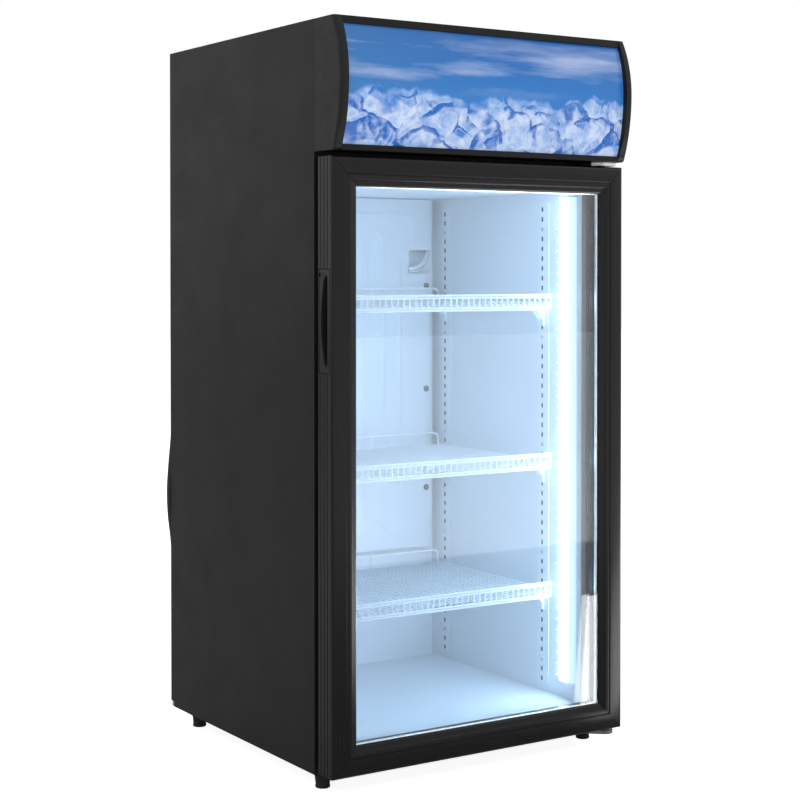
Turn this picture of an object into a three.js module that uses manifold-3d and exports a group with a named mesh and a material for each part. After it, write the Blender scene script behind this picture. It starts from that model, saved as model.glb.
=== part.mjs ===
// Countertop glass door merchandiser: an insulated cabinet with a hinged, double glazed door,
// three wire shelves, a lit header over the door and its refrigeration machine behind the header.
//
// Millimetres, +Z up. The object stands on z = 0 and its front faces -Y.
// Inside the `cabinet` group, x = 0 is the middle, y = 0 is the cabinet's front plane and
// z = 0 is the bottom edge of the side panels; the group is then set on its feet.

import * as THREE from 'three';
import { mergeVertices } from 'three/addons/utils/BufferGeometryUtils.js';
import Module from 'manifold-3d';

const wasm = await Module();
wasm.setup();

// ---------------------------------------------------------------- driving dimensions

const WIDTH = 430;             // over the side panels
const BODY_DEPTH = 386;        // front plane to back edge of the side panels
const PANEL_HEIGHT = 880;      // side panels
const FOOT_HEIGHT = 20;
const HEADER_DEPTH = 62;       // how far the header stands in front of the cabinet
const SHEET = 1;               // steel sheet
const GAP = 0.3;               // clearance between pieces that touch

const HALF = WIDTH / 2;
const INNER_HALF = 180;        // storage space, side wall to middle
const INNER_BACK = 341;        // its rear wall
const INNER_FLOOR = 31;
const INNER_CEILING = 691;
const DECK_Z = 726;            // underside of the machine compartment's floor, and of the header
const BACK_Y = BODY_DEPTH - SHEET - GAP;      // rear face of the rear panels, inside the back flanges

const DOOR_BOTTOM = 3;
const DOOR_TOP = 720;
const DOOR_FRONT = -42;
const DOOR_REAR = -8.8;
const FRAME_WIDTH = 35;        // door frame, outer edge to glass
const HINGE = { x: 200, y: -25 };

const FOOT_X = 196;
const FOOT_Y = [13.6, 338];

const SLOT_TOP = 669;          // centre of the uppermost pilaster slot
const SLOT_PITCH = 12.95;
const SLOT = { width: 4.5, height: 6, behind: 3 };
const PILASTER_Y = [[66, 89], [292, 317]];
const PILASTER_DEPTH = 1.5;
const STRIP_BOTTOM = 42;       // pilasters, lower and upper end
const STRIP_TOP = 678;
const SHELF_SLOTS = [39, 26, 10];             // pilaster slot that carries each shelf, bottom to top
const SHELF_RISE = 8;                         // shelf surface above that slot's centre
const SHELF = { half: 170, front: 45.8, back: 312, wire: 2.5, pitch: 8.8, bars: 39 };
const FENCE_RISE = 10.75;                      // fence above and below the shelf surface

const CORD_DIAMETER = 7;

// ---------------------------------------------------------------- shape helpers

function finish(colour, roughness, metalness = 0) {
  return new THREE.MeshStandardMaterial({ color: colour, roughness, metalness });
}

const BLACK_STEEL = finish(0x323031, 0.45, 0.3);
const BLACK_PLASTIC = finish(0x232226, 0.35);
const BLACK_RUBBER = finish(0x151515, 0.8);
const WHITE_PLASTIC = finish(0xe8edf2, 0.5);
const WHITE_STEEL = finish(0xeef1f4, 0.4, 0.2);
const ZINC = finish(0xb9bcc0, 0.4, 0.9);
const GLASS = finish(0xcfe2ee, 0.05);

function box(x0, x1, y0, y1, z0, z1) {
  const shape = new THREE.BoxGeometry(x1 - x0, y1 - y0, z1 - z0);
  return shape.translate((x0 + x1) / 2, (y0 + y1) / 2, (z0 + z1) / 2);
}

function outline(points) {
  return new THREE.Shape(points.map(([a, b]) => new THREE.Vector2(a, b)));
}

// A section drawn in x and y, standing from z0 to z1.
function upright(section, z0, z1) {
  const shape = new THREE.ExtrudeGeometry(section, { depth: z1 - z0, bevelEnabled: false });
  return shape.translate(0, 0, z0);
}

// A section drawn in y and z, running across from x0 to x1.
function across(section, x0, x1, options = {}) {
  const settings = { depth: x1 - x0, bevelEnabled: false, ...options };
  const shape = new THREE.ExtrudeGeometry(section, settings);
  shape.applyMatrix4(new THREE.Matrix4().set(0, 0, 1, 0, 1, 0, 0, 0, 0, 1, 0, 0, 0, 0, 0, 1));
  return shape.translate(x0, 0, 0);
}

// A section drawn in x and z, running back from y0 to y1.
function backward(section, y0, y1) {
  const shape = new THREE.ExtrudeGeometry(section, { depth: y1 - y0, bevelEnabled: false });
  return shape.rotateX(Math.PI / 2).translate(0, y1, 0);
}

// A turned piece: profile points are [radius, height]; axis is 'x', 'y' or 'z' through the centre.
function turned(profile, sides, axis = 'z', centre = [0, 0, 0]) {
  const shape = new THREE.LatheGeometry(profile.map(([r, h]) => new THREE.Vector2(r, h)), sides);
  if (axis === 'x') shape.rotateZ(-Math.PI / 2);
  if (axis === 'z') shape.rotateX(Math.PI / 2);
  return shape.translate(...centre);
}

function rod(radius, length, sides, axis, centre) {
  const shape = new THREE.CylinderGeometry(radius, radius, length, sides);
  if (axis === 'x') shape.rotateZ(-Math.PI / 2);
  if (axis === 'z') shape.rotateX(Math.PI / 2);
  return shape.translate(...centre);
}

function toSolid(shape) {
  const bare = shape.clone();
  bare.deleteAttribute('normal');
  bare.deleteAttribute('uv');
  const merged = mergeVertices(bare, 1e-4);
  return new wasm.Manifold(new wasm.Mesh({
    numProp: 3,
    vertProperties: new Float32Array(merged.attributes.position.array),
    triVerts: new Uint32Array(merged.index.array),
  }));
}

function toShape(solid) {
  const mesh = solid.getMesh();
  const shape = new THREE.BufferGeometry();
  shape.setAttribute('position', new THREE.BufferAttribute(mesh.vertProperties, 3));
  shape.setIndex(new THREE.BufferAttribute(mesh.triVerts, 1));
  shape.computeVertexNormals();
  return shape;
}

function cut(shape, ...tools) {
  const left = tools.reduce((solid, tool) => solid.subtract(toSolid(tool)), toSolid(shape));
  return toShape(left);
}

function join(shape, ...others) {
  const whole = others.reduce((solid, other) => solid.add(toSolid(other)), toSolid(shape));
  return toShape(whole);
}

function common(shape, other) {
  return toShape(toSolid(shape).intersect(toSolid(other)));
}

// Across the cabinet's middle, for the other side's piece.
function mirrored(shape) {
  const other = shape.clone().applyMatrix4(new THREE.Matrix4().makeScale(-1, 1, 1));
  const index = other.index ?? mergeVertices(other).index;
  const base = other.index ? other : mergeVertices(other);
  const flipped = new Uint32Array(index.array);
  for (let i = 0; i < flipped.length; i += 3) {
    [flipped[i], flipped[i + 1]] = [flipped[i + 1], flipped[i]];
  }
  base.setIndex(new THREE.BufferAttribute(flipped, 1));
  base.computeVertexNormals();
  return base;
}

const cabinet = new THREE.Group();
cabinet.position.set(0, (HEADER_DEPTH - BODY_DEPTH) / 2, FOOT_HEIGHT);

function add(name, shape, material, parent = cabinet) {
  const piece = new THREE.Mesh(shape, material);
  piece.name = name;
  parent.add(piece);
  return piece;
}

// ---------------------------------------------------------------- outer shell

const FRONT_FLANGE_X = 188;    // side panel's front flange reaches in to here
const BACK_FLANGE_X = 203;
const LINING_EDGE = FRONT_FLANGE_X - GAP;
const SHELL_X = HALF - SHEET - GAP;           // inside faces of the side panels, less a gap
const SHELL_Y0 = SHEET + GAP;
const SHELL_Y1 = BACK_Y - SHEET - GAP;        // inside of the rear panels

function sidePanel() {
  const section = outline([
    [FRONT_FLANGE_X, 0], [HALF, 0], [HALF, BODY_DEPTH], [BACK_FLANGE_X, BODY_DEPTH],
    [BACK_FLANGE_X, BODY_DEPTH - SHEET], [HALF - SHEET, BODY_DEPTH - SHEET],
    [HALF - SHEET, SHEET], [FRONT_FLANGE_X, SHEET],
  ]);
  const notch = box(BACK_FLANGE_X - 5, HALF + 5, BODY_DEPTH - 9, BODY_DEPTH + 5, -5, 7);
  return cut(upright(section, 0, PANEL_HEIGHT), notch);
}

function shell() {
  const right = sidePanel();
  add('side_panel_right', right, BLACK_STEEL);
  add('side_panel_left', mirrored(right), BLACK_STEEL);

  const frontEdge = 22.7;      // folded up in front of the floor, folded down below the deck
  const studs = [];
  for (const x of [-FOOT_X, FOOT_X]) {
    for (const y of FOOT_Y) studs.push(rod(4.3, 10, 16, 'z', [x, y, 0]));
  }
  const base = outline([
    [0, 0], [SHELL_Y1, 0], [SHELL_Y1, SHEET], [SHEET, SHEET], [SHEET, frontEdge], [0, frontEdge],
  ]);
  const deepBase = cut(
    across(base, -SHELL_X, SHELL_X),
    box(LINING_EDGE, HALF, -5, SHELL_Y0, -5, frontEdge + 5),
    box(-HALF, -LINING_EDGE, -5, SHELL_Y0, -5, frontEdge + 5),
    ...studs,
  );
  add('base_panel', deepBase, BLACK_STEEL);

  const deck = outline([
    [0, DECK_Z + SHEET], [0, DECK_Z - frontEdge - 4], [SHEET, DECK_Z - frontEdge - 4],
    [SHEET, DECK_Z], [SHELL_Y1, DECK_Z], [SHELL_Y1, DECK_Z + SHEET],
  ]);
  const trimmedDeck = cut(
    across(deck, -SHELL_X, SHELL_X),
    box(LINING_EDGE, HALF, -5, SHELL_Y0, DECK_Z - 40, DECK_Z + 5),
    box(-HALF, -LINING_EDGE, -5, SHELL_Y0, DECK_Z - 40, DECK_Z + 5),
  );
  add('machine_deck', trimmedDeck, BLACK_STEEL);

  const topZ = PANEL_HEIGHT - SHEET - GAP;
  add('top_cover', box(-SHELL_X, SHELL_X, SHELL_Y0, SHELL_Y1, topZ, topZ + SHEET), BLACK_STEEL);
  const rear = box(-SHELL_X, SHELL_X, BACK_Y - SHEET, BACK_Y, 0, DECK_Z - 1);
  add('rear_panel', rear, BLACK_STEEL);
}

// Groove in the side walls behind each row of pilaster slots, for the hooks of the shelf clips.
function hookGrooves() {
  return PILASTER_Y.flatMap(([y0, y1]) => {
    const middle = (y0 + y1) / 2 + SLOT.behind;
    const [front, back] = [middle - 3.5, middle + 3.5];
    const groove = box(INNER_HALF - 2, INNER_HALF + 6, front, back, STRIP_BOTTOM + 3, STRIP_TOP - 3);
    return [groove, mirrored(groove)];
  });
}

function insulation() {
  const block = box(-SHELL_X, SHELL_X, SHELL_Y0, SHELL_Y1, SHELL_Y0, DECK_Z - GAP);
  const skin = SHEET + GAP;
  const hollow = box(
    -INNER_HALF - skin, INNER_HALF + skin, -5, INNER_BACK + skin,
    INNER_FLOOR - skin, INNER_CEILING + skin,
  );
  const studs = [];
  for (const x of [-FOOT_X, FOOT_X]) {
    for (const y of FOOT_Y) studs.push(rod(4.3, 28, 16, 'z', [x, y, 0]));
  }
  const foam = cut(block, hollow, ...studs, ...hookGrooves());
  add('insulation_foam', foam, finish(0xe0cf9a, 0.9));

  const tub = box(
    -INNER_HALF - SHEET, INNER_HALF + SHEET, 0, INNER_BACK + SHEET,
    INNER_FLOOR - SHEET, INNER_CEILING + SHEET,
  );
  const rim = box(-LINING_EDGE, LINING_EDGE, 0, SHEET, 23, INNER_CEILING + 8);
  const space = box(-INNER_HALF, INNER_HALF, -5, INNER_BACK, INNER_FLOOR, INNER_CEILING);
  add('inner_liner', cut(join(tub, rim), space, ...hookGrooves()), WHITE_PLASTIC);
}

// ---------------------------------------------------------------- levelling feet

function feet() {
  const pad = [
    [0, -FOOT_HEIGHT], [7.7, -FOOT_HEIGHT], [8.5, -FOOT_HEIGHT + 0.8], [10, -5], [10, -GAP],
    [4, -GAP], [4, 12], [0, 12],
  ];
  const places = { front_left: [-1, 0], front_right: [1, 0], rear_left: [-1, 1], rear_right: [1, 1] };
  for (const [name, [side, row]] of Object.entries(places)) {
    const centre = [side * FOOT_X, FOOT_Y[row], 0];
    add(`levelling_foot_${name}`, turned(pad, 16, 'z', centre), BLACK_RUBBER);
  }
}

// ---------------------------------------------------------------- shelving

function slotZ(index) {
  return SLOT_TOP - SLOT_PITCH * index;
}

// A flat strip on the side wall. Its slots stand a little behind its middle.
function pilaster(y0, y1) {
  const face = INNER_HALF - PILASTER_DEPTH;
  const middle = (y0 + y1) / 2 + SLOT.behind;
  const slots = [];
  for (const first of SHELF_SLOTS) {
    for (const index of [first, first + 1]) {
      const z = slotZ(index);
      const half = SLOT.width / 2;
      const rise = SLOT.height / 2;
      slots.push(box(face - 2, face + 3, middle - half, middle + half, z - rise, z + rise));
    }
  }
  return cut(box(face, INNER_HALF - GAP, y0, y1, STRIP_BOTTOM, STRIP_TOP), ...slots);
}

function shelfClip(y0, y1, index) {
  const face = INNER_HALF - PILASTER_DEPTH - GAP;
  const top = slotZ(index) + SHELF_RISE - SHELF.wire - GAP;
  const middle = (y0 + y1) / 2 + SLOT.behind;
  const gusset = new THREE.Shape([
    new THREE.Vector2(face, top), new THREE.Vector2(face - 17, top),
    new THREE.Vector2(face - 17, top - 3), new THREE.Vector2(face - 2.5, top - 21),
    new THREE.Vector2(face - 2.5, top - 29), new THREE.Vector2(face, top - 29),
  ]);
  const hooks = [index, index + 1].map((i) => {
    const z = slotZ(i);
    return box(face - 1, face + 3, middle - 1.5, middle + 1.5, z - 2, z + 1);
  });
  return join(backward(gusset, middle - 6, middle + 6), ...hooks);
}

function shelf(index) {
  const z = slotZ(index) + SHELF_RISE;
  const { half, front, back, wire, pitch, bars } = SHELF;
  const opening = pitch - wire;
  const first = -(bars - 1) / 2 * pitch;
  const deckSlots = [];
  const fenceSlots = [];
  for (let i = 0; i < bars - 1; i += 1) {
    const x = first + pitch * (i + 0.5);
    deckSlots.push(box(x - opening / 2, x + opening / 2, front + 6, back - 6, z - 5, z + 2));
    fenceSlots.push(box(
      x - opening / 2, x + opening / 2, front - 2, front + 5, z + 1, z + FENCE_RISE - wire,
    ));
  }
  const deck = box(-half, half, front, back, z - wire, z);
  const fence = box(-half, half, front, front + wire, z - FENCE_RISE, z + FENCE_RISE);
  const stop = box(-half, half, back - wire, back, z - wire, z + 17);
  const stopGap = box(-half + 5, half - 5, back - 5, back + 5, z + 1, z + 17 - wire);
  return cut(join(deck, fence, stop), ...deckSlots, ...fenceSlots, stopGap);
}

function shelving() {
  for (const [row, [y0, y1]] of PILASTER_Y.entries()) {
    const place = row === 0 ? 'front' : 'rear';
    const right = pilaster(y0, y1);
    add(`pilaster_${place}_right`, right, WHITE_STEEL);
    add(`pilaster_${place}_left`, mirrored(right), WHITE_STEEL);
  }
  const levels = ['bottom', 'middle', 'top'];
  for (const [level, index] of SHELF_SLOTS.entries()) {
    add(`shelf_${levels[level]}`, shelf(index), WHITE_STEEL);
    for (const [row, [y0, y1]] of PILASTER_Y.entries()) {
      const place = `${levels[level]}_${row === 0 ? 'front' : 'rear'}`;
      const right = shelfClip(y0, y1, index);
      add(`shelf_clip_${place}_right`, right, WHITE_PLASTIC);
      add(`shelf_clip_${place}_left`, mirrored(right), WHITE_PLASTIC);
    }
  }
}

// ---------------------------------------------------------------- cooling and light inside

function evaporator() {
  const front = 325;
  const thickness = 2;
  const plate = outline([
    [-165, 193], [165, 193], [165, 584], [128, 584], [128, 618], [165, 618], [165, 690],
    [-165, 690],
  ]);
  const spacers = [];
  for (const x of [-158, 158]) {
    for (const z of [277, 419, 567]) {
      const length = INNER_BACK - GAP - front - 1;
      spacers.push(rod(4, length, 10, 'y', [x, front + 1 + length / 2, z]));
    }
  }
  const whole = join(backward(plate, front, front + thickness), ...spacers);
  add('evaporator_plate', whole, finish(0xdfe3e6, 0.45, 0.5));
}

function ledBar() {
  const wall = INNER_HALF - GAP;
  const section = outline([
    [wall, 9], [INNER_HALF - 3, 10], [INNER_HALF - 5.5, 22], [INNER_HALF - 4.5, 39], [wall, 43],
  ]);
  add('led_light_bar', upright(section, 48, 688), finish(0xf6fbff, 0.3));
}

// ---------------------------------------------------------------- header

const CAP_THICKNESS = 10;
const HEADER_NOSE_Z = 810;     // height where the header reaches furthest forward

// Front edge of the header: two arcs that meet where it is furthest forward.
function noseArcs(nose, upperRadius, lowerRadius, zTop, zBottom, steps = 12) {
  const points = [];
  for (let i = 0; i <= steps; i += 1) {
    const z = zTop + (zBottom - zTop) * i / steps;
    const radius = z > HEADER_NOSE_Z ? upperRadius : lowerRadius;
    const reach = z - HEADER_NOSE_Z;
    points.push([nose + radius - Math.sqrt(radius * radius - reach * reach), z]);
  }
  return points;
}

function endCap() {
  const edge = noseArcs(-HEADER_DEPTH, 145, 237, PANEL_HEIGHT + 12, DECK_Z - 12, 16);
  const blank = outline([...edge, [12, DECK_Z - 12], [12, PANEL_HEIGHT + 12]]);
  const rounded = across(blank, HALF - CAP_THICKNESS - 5, HALF - 4, {
    bevelEnabled: true, bevelThickness: 4, bevelSize: 4.5, bevelOffset: -4.5, bevelSegments: 3,
  });
  const corner = new THREE.Shape();
  corner.moveTo(-GAP, DECK_Z);
  corner.lineTo(-39, DECK_Z);
  corner.absarc(-39, DECK_Z + 9, 9, -Math.PI / 2, -Math.PI, true);
  corner.lineTo(-HEADER_DEPTH - 5, DECK_Z + 60);
  corner.lineTo(-HEADER_DEPTH - 5, PANEL_HEIGHT - GAP);
  corner.lineTo(-GAP, PANEL_HEIGHT - GAP);
  return common(rounded, across(corner, HALF - CAP_THICKNESS, HALF + 2));
}

function header() {
  const cap = endCap();
  add('header_end_cap_right', cap, BLACK_PLASTIC);
  add('header_end_cap_left', mirrored(cap), BLACK_PLASTIC);

  const inside = HALF - CAP_THICKNESS - GAP;
  const top = PANEL_HEIGHT - GAP;
  const floor = DECK_Z + GAP;
  const housing = outline([
    [-GAP, floor], [-GAP, top], [-44, top], [-46.5, 871], [-43, 871], [-41.5, top - 1.5],
    [-GAP - 1.5, top - 1.5], [-GAP - 1.5, floor + 1.5], [-41, floor + 1.5], [-43, 732.8],
    [-46.5, 732.8], [-45, floor],
  ]);
  add('header_housing', across(housing, -inside, inside), BLACK_STEEL);

  const thickness = 2.5;
  const front = noseArcs(-55, 163.6, 249, 870.5, 733.2);
  const back = noseArcs(-55 + thickness, 163.6 - thickness, 249 - thickness, 870.5, 733.2);
  const sheet = outline([...front, ...back.reverse()]);
  add('header_graphic_panel', across(sheet, -inside, inside), finish(0x3f86c8, 0.25));
  const strip = box(-190, 190, -6, -GAP * 2 - 1.5, 798, 812);
  add('header_led_strip', strip, finish(0xf4f8ff, 0.4));
}

// ---------------------------------------------------------------- door

const GLASS_EDGE = 12;         // how far the panes reach under the frame
const POCKET = { z0: 469.5, z1: 590, y0: -35.6, y1: -10.7, depth: 14 };

// Section of the door frame: u runs from the outer edge in to the glass, y from front to back.
function frameSection() {
  return [
    [0, DOOR_REAR], [0, -14.9], [0.6, -15.4], [0, -15.9], [0, -22.4], [0.6, -22.9], [0, -23.4],
    [0, -29.6], [0.6, -30.1], [0, -30.6], [0, -38], [1.2, -40.8], [4, DOOR_FRONT],
    [19, DOOR_FRONT], [19.6, -41], [20.4, -41], [21, -41.6], [27, -40.6], [28, -39], [33, -38],
    [FRAME_WIDTH, -36.3], [22.7, -36.3], [22.7, -23.7], [FRAME_WIDTH, -23.7],
    [FRAME_WIDTH, -18.3], [29.5, -18.3], [29.5, DOOR_REAR],
  ];
}

// Keeps the stretch of a frame member that lies between its two mitred ends.
function mitreTool(length) {
  const slack = 0.15 * Math.SQRT2;
  const trapezoid = outline([
    [-2, -2 + slack], [FRAME_WIDTH + 4, FRAME_WIDTH + 4 + slack],
    [FRAME_WIDTH + 4, length - FRAME_WIDTH - 4 - slack], [-2, length + 2 - slack],
  ]);
  return backward(trapezoid, DOOR_FRONT - 5, DOOR_REAR + 5);
}

// A frame member standing along +z from the outer corner at x = 0, glass towards +x.
function frameMember(length) {
  return common(upright(outline(frameSection()), 0, length), mitreTool(length));
}

function ring(outer, inner, y0, y1, bottom, top) {
  const outside = box(-outer.x, outer.x, y0, y1, bottom + outer.z, top - outer.z);
  const inside = box(-inner.x, inner.x, y0 - 1, y1 + 1, bottom + inner.z, top - inner.z);
  return cut(outside, inside);
}

// Finger pocket, seen from the side: flat towards the front, bowed towards the back.
function pocketOutline() {
  const middle = (POCKET.z0 + POCKET.z1) / 2;
  const half = 52;
  const front = -29.2;
  const shape = new THREE.Shape();
  shape.moveTo(front, middle - half + 3);
  shape.lineTo(front, middle + half - 3);
  shape.quadraticCurveTo(front, middle + half, front + 3, middle + half);
  shape.quadraticCurveTo(front + 7, middle + half, front + 8, middle + half - 10);
  shape.quadraticCurveTo(front + 17.5, middle, front + 8, middle - half + 10);
  shape.quadraticCurveTo(front + 7, middle - half, front + 3, middle - half);
  shape.quadraticCurveTo(front, middle - half, front, middle - half + 3);
  return shape;
}

function door() {
  const leaf = new THREE.Group();
  cabinet.add(leaf);
  const height = DOOR_TOP - DOOR_BOTTOM;
  const { z0, z1, y0, y1, depth } = POCKET;

  const stile = frameMember(height).translate(-HALF, 0, DOOR_BOTTOM);
  const mortise = box(-HALF - 2, -HALF + depth + GAP, y0 - GAP, y1 + GAP, z0 - GAP, z1 + GAP);
  add('door_stile_left', cut(stile, mortise), BLACK_PLASTIC, leaf);
  const otherStile = mirrored(frameMember(height)).translate(HALF, 0, DOOR_BOTTOM);
  add('door_stile_right', otherStile, BLACK_PLASTIC, leaf);

  // A member laid along x: its outer edge turns from -x to -z.
  const lying = new THREE.Matrix4().set(0, 0, 1, 0, 0, 1, 0, 0, 1, 0, 0, 0, 0, 0, 0, 1);
  const pinHole = (z) => rod(4.3, 20, 20, 'z', [HINGE.x, HINGE.y, z]);
  const laid = toSolid(frameMember(WIDTH)).transform(lying.toArray());
  const bottomRail = toShape(laid).translate(-HALF, 0, DOOR_BOTTOM);
  add('door_rail_bottom', cut(bottomRail, pinHole(DOOR_BOTTOM)), BLACK_PLASTIC, leaf);
  const upsideDown = toShape(laid.mirror([0, 0, 1])).translate(-HALF, 0, DOOR_TOP);
  add('door_rail_top', cut(upsideDown, pinHole(DOOR_TOP)), BLACK_PLASTIC, leaf);

  const edge = FRAME_WIDTH - GLASS_EDGE;
  const paneX = HALF - edge;
  const pane = (front, back) => box(
    -paneX, paneX, front, back, DOOR_BOTTOM + edge, DOOR_TOP - edge,
  );
  add('glass_outer', pane(-36, -32.8), GLASS, leaf);
  add('glass_inner', pane(-27.2, -24), GLASS, leaf);
  const spacer = ring(
    { x: paneX - 1, z: edge + 1 }, { x: HALF - FRAME_WIDTH + 1, z: FRAME_WIDTH - 1 },
    -32.5, -27.5, DOOR_BOTTOM, DOOR_TOP,
  );
  add('glass_spacer', spacer, finish(0xb8bcc2, 0.35, 0.9), leaf);
  const gasket = ring(
    { x: HALF - 19, z: 6 }, { x: HALF - 29, z: 16 }, DOOR_REAR + GAP, -GAP, DOOR_BOTTOM, DOOR_TOP,
  );
  add('door_gasket', gasket, finish(0x8d9196, 0.8), leaf);

  const insert = box(-HALF + 0.2, -HALF + depth, y0, y1, z0, z1);
  const pocket = across(pocketOutline(), -HALF - 2, -HALF + depth - 2);
  add('door_handle', cut(insert, pocket), BLACK_PLASTIC, leaf);
}

// A bracket plate with its pin; the lower one carries the door, the upper one keeps it upright.
function hinges() {
  const lower = new THREE.Shape();
  lower.moveTo(160, 34);
  lower.lineTo(160, -4);
  lower.lineTo(190, -31);
  lower.absarc(HINGE.x, HINGE.y, 11, Math.PI * 1.2, Math.PI * 2, false);
  lower.lineTo(211, -14);
  lower.lineTo(197, -2);
  lower.lineTo(184, 2);
  lower.lineTo(184, 34);
  const lowerPin = rod(4, 13.3, 20, 'z', [HINGE.x, HINGE.y, 3.65]);
  add('hinge_bracket_bottom', join(upright(lower, -4.6, -GAP), lowerPin), BLACK_STEEL);

  const upper = outline([
    [178, -3], [178, -24], [189, -36], [209, -36], [212, -28], [212, -3],
  ]);
  const upperPin = rod(4, 13.4, 20, 'z', [HINGE.x, HINGE.y, 717.5]);
  add('hinge_bracket_top', join(upright(upper, 721.5, DECK_Z - GAP), upperPin), ZINC);
}

// ---------------------------------------------------------------- machine compartment

const MACHINE_Z = DECK_Z + SHEET + GAP;
const FAN = { x: 95, z: 803, radius: 38 };
const KNOB = { x: -95, z: 830 };
const SWITCH = { x: -150, z: 830 };
const GLAND = { x: -168, z: 760 };

function compressor() {
  const dome = [
    [0, MACHINE_Z], [40, MACHINE_Z], [40, MACHINE_Z + 8], [62, MACHINE_Z + 14],
    [68, MACHINE_Z + 34], [68, MACHINE_Z + 62], [71, MACHINE_Z + 65], [71, MACHINE_Z + 69],
    [68, MACHINE_Z + 72], [66, MACHINE_Z + 104], [52, MACHINE_Z + 128], [28, MACHINE_Z + 138],
    [0, MACHINE_Z + 140],
  ];
  const centre = [-95, 190, 0];
  const mount = box(-185, -5, 130, 250, MACHINE_Z, MACHINE_Z + 3);
  add('compressor', join(mount, turned(dome, 28, 'z', centre)), finish(0x1b1b1d, 0.35, 0.4));
}

function condenser() {
  const fins = 24;
  const [x0, x1] = [20, 185];
  const block = box(x0, x1, 245, 300, MACHINE_Z, 868);
  const pitch = (x1 - x0) / fins;
  const grooves = [];
  for (let i = 0; i < fins; i += 1) {
    const x = x0 + pitch * (i + 0.5);
    grooves.push(box(x - pitch * 0.3, x + pitch * 0.3, 240, 268, MACHINE_Z + 6, 862));
  }
  add('condenser_coil', cut(block, ...grooves), finish(0x9a9da1, 0.5, 0.8));

  const plate = box(x0 + 5, x1 - 5, 346, 348, MACHINE_Z, 866);
  const mouth = rod(FAN.radius + 3, 60, 36, 'y', [FAN.x, 350, FAN.z]);
  const collar = rod(FAN.radius + 5, 26, 36, 'y', [FAN.x, 360, FAN.z]);
  const ringed = cut(join(plate, collar), mouth);
  const motor = rod(17, 26, 24, 'y', [FAN.x, 335, FAN.z]);
  const arm = box(x0 + 15, x1 - 15, 340, 347, FAN.z - 4, FAN.z + 4);
  add('fan_shroud', join(ringed, motor, arm), BLACK_PLASTIC);
}

function fan() {
  const hub = [[0, 349], [15, 349], [15, 368], [12, 371], [0, 371]];
  const blades = [];
  const count = 5;
  for (let i = 0; i < count; i += 1) {
    const blade = new THREE.BoxGeometry(22, 1.6, 25);
    blade.rotateZ(THREE.MathUtils.degToRad(32)).translate(0, 360, 24.5);
    blade.rotateY(i * 2 * Math.PI / count);
    blades.push(blade.translate(FAN.x, 0, FAN.z));
  }
  const wheel = turned(hub, 24, 'y', [FAN.x, 0, FAN.z]);
  add('fan_blades', join(wheel, ...blades), finish(0x2a2c2f, 0.5));
}

function rearCover() {
  const plate = box(-SHELL_X, SHELL_X, BACK_Y - SHEET, BACK_Y, DECK_Z, PANEL_HEIGHT - GAP);
  const openings = [];
  for (let row = 0; row < 12; row += 1) {
    const z = 745 + 10 * row;
    for (const [x0, x1] of [[25, 92], [98, 165]]) {
      openings.push(box(x0, x1, BACK_Y - 5, BACK_Y + 5, z, z + 4.5));
    }
  }
  openings.push(rod(4, 20, 16, 'y', [KNOB.x, BACK_Y, KNOB.z]));
  openings.push(box(SWITCH.x - 10, SWITCH.x + 10, BACK_Y - 5, BACK_Y + 5, SWITCH.z - 7, SWITCH.z + 7));
  openings.push(rod(7.3, 20, 20, 'y', [GLAND.x, BACK_Y, GLAND.z]));
  add('rear_grille', cut(plate, ...openings), BLACK_STEEL);
}

// The controls sit in the hollow between the back flanges' face and the sheet behind it.
function controls() {
  const face = BACK_Y + GAP;
  const knob = [
    [0, BACK_Y - 12], [3.5, BACK_Y - 12], [3.5, face], [11, face], [11, BODY_DEPTH - 0.2],
    [0, BODY_DEPTH - 0.2],
  ];
  const grip = box(KNOB.x - 1.6, KNOB.x + 1.6, BODY_DEPTH - 1, BODY_DEPTH, KNOB.z - 10, KNOB.z + 10);
  const turnedKnob = turned(knob, 24, 'y', [KNOB.x, 0, KNOB.z]);
  add('thermostat_knob', join(turnedKnob, grip), BLACK_PLASTIC);

  const rocker = outline([
    [BACK_Y - 9, SWITCH.z], [BACK_Y - 1, SWITCH.z - 6], [BODY_DEPTH - 0.2, SWITCH.z - 5.6],
    [BACK_Y - 0.5, SWITCH.z], [BACK_Y - 0.2, SWITCH.z + 5.6], [BACK_Y - 3, SWITCH.z + 5.9],
  ]);
  add('light_switch', across(rocker, SWITCH.x - 8.5, SWITCH.x + 8.5), BLACK_PLASTIC);
}

// ---------------------------------------------------------------- power cord

const FLOOR = -FOOT_HEIGHT;
const CORD_RADIUS = CORD_DIAMETER / 2;
const COIL = { x: -100, y: 447.5, outer: 45.5, inner: 31.5 };   // middle of its outer and inner turn
const RELIEF_END = BODY_DEPTH + 22;
const PLUG = { x: -67, y: 405.5, z: FLOOR + 11 };               // where the cord enters it

// Middle of the cord: straight out of the strain relief, down behind the cabinet with a slight
// bow towards its left edge, then along the floor to the coil.
const CORD_ROUTE = [
  [-168, 408, 760], [-168, 414, 760], [-168, 426.4, 758], [-168, 437.5, 752.4],
  [-168.3, 446.4, 743.5], [-168.9, 452, 732.4], [-169.8, 454, 720], [-172.4, 451.5, 695],
  [-177, 443, 650], [-183, 431, 590], [-190, 418, 520], [-197.5, 407.5, 448],
  [-202.5, 400, 395], [-206.8, 396, 360], [-211, 393.8, 328], [-213.8, 393, 292],
  [-212.6, 393, 258], [-208.5, 394, 228], [-204.5, 396, 185], [-202.5, 398.5, 130],
  [-202.3, 400.5, 80], [-203, 402, 45], [-203, 402, 23.8], [-200, 402, 8.5],
  [-191.3, 402, -4.5], [-178.3, 402, -13], [-163, 402, -16.1], [-144, 402, -16.2],
  [-125.8, 402, -16.2],
];

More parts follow.
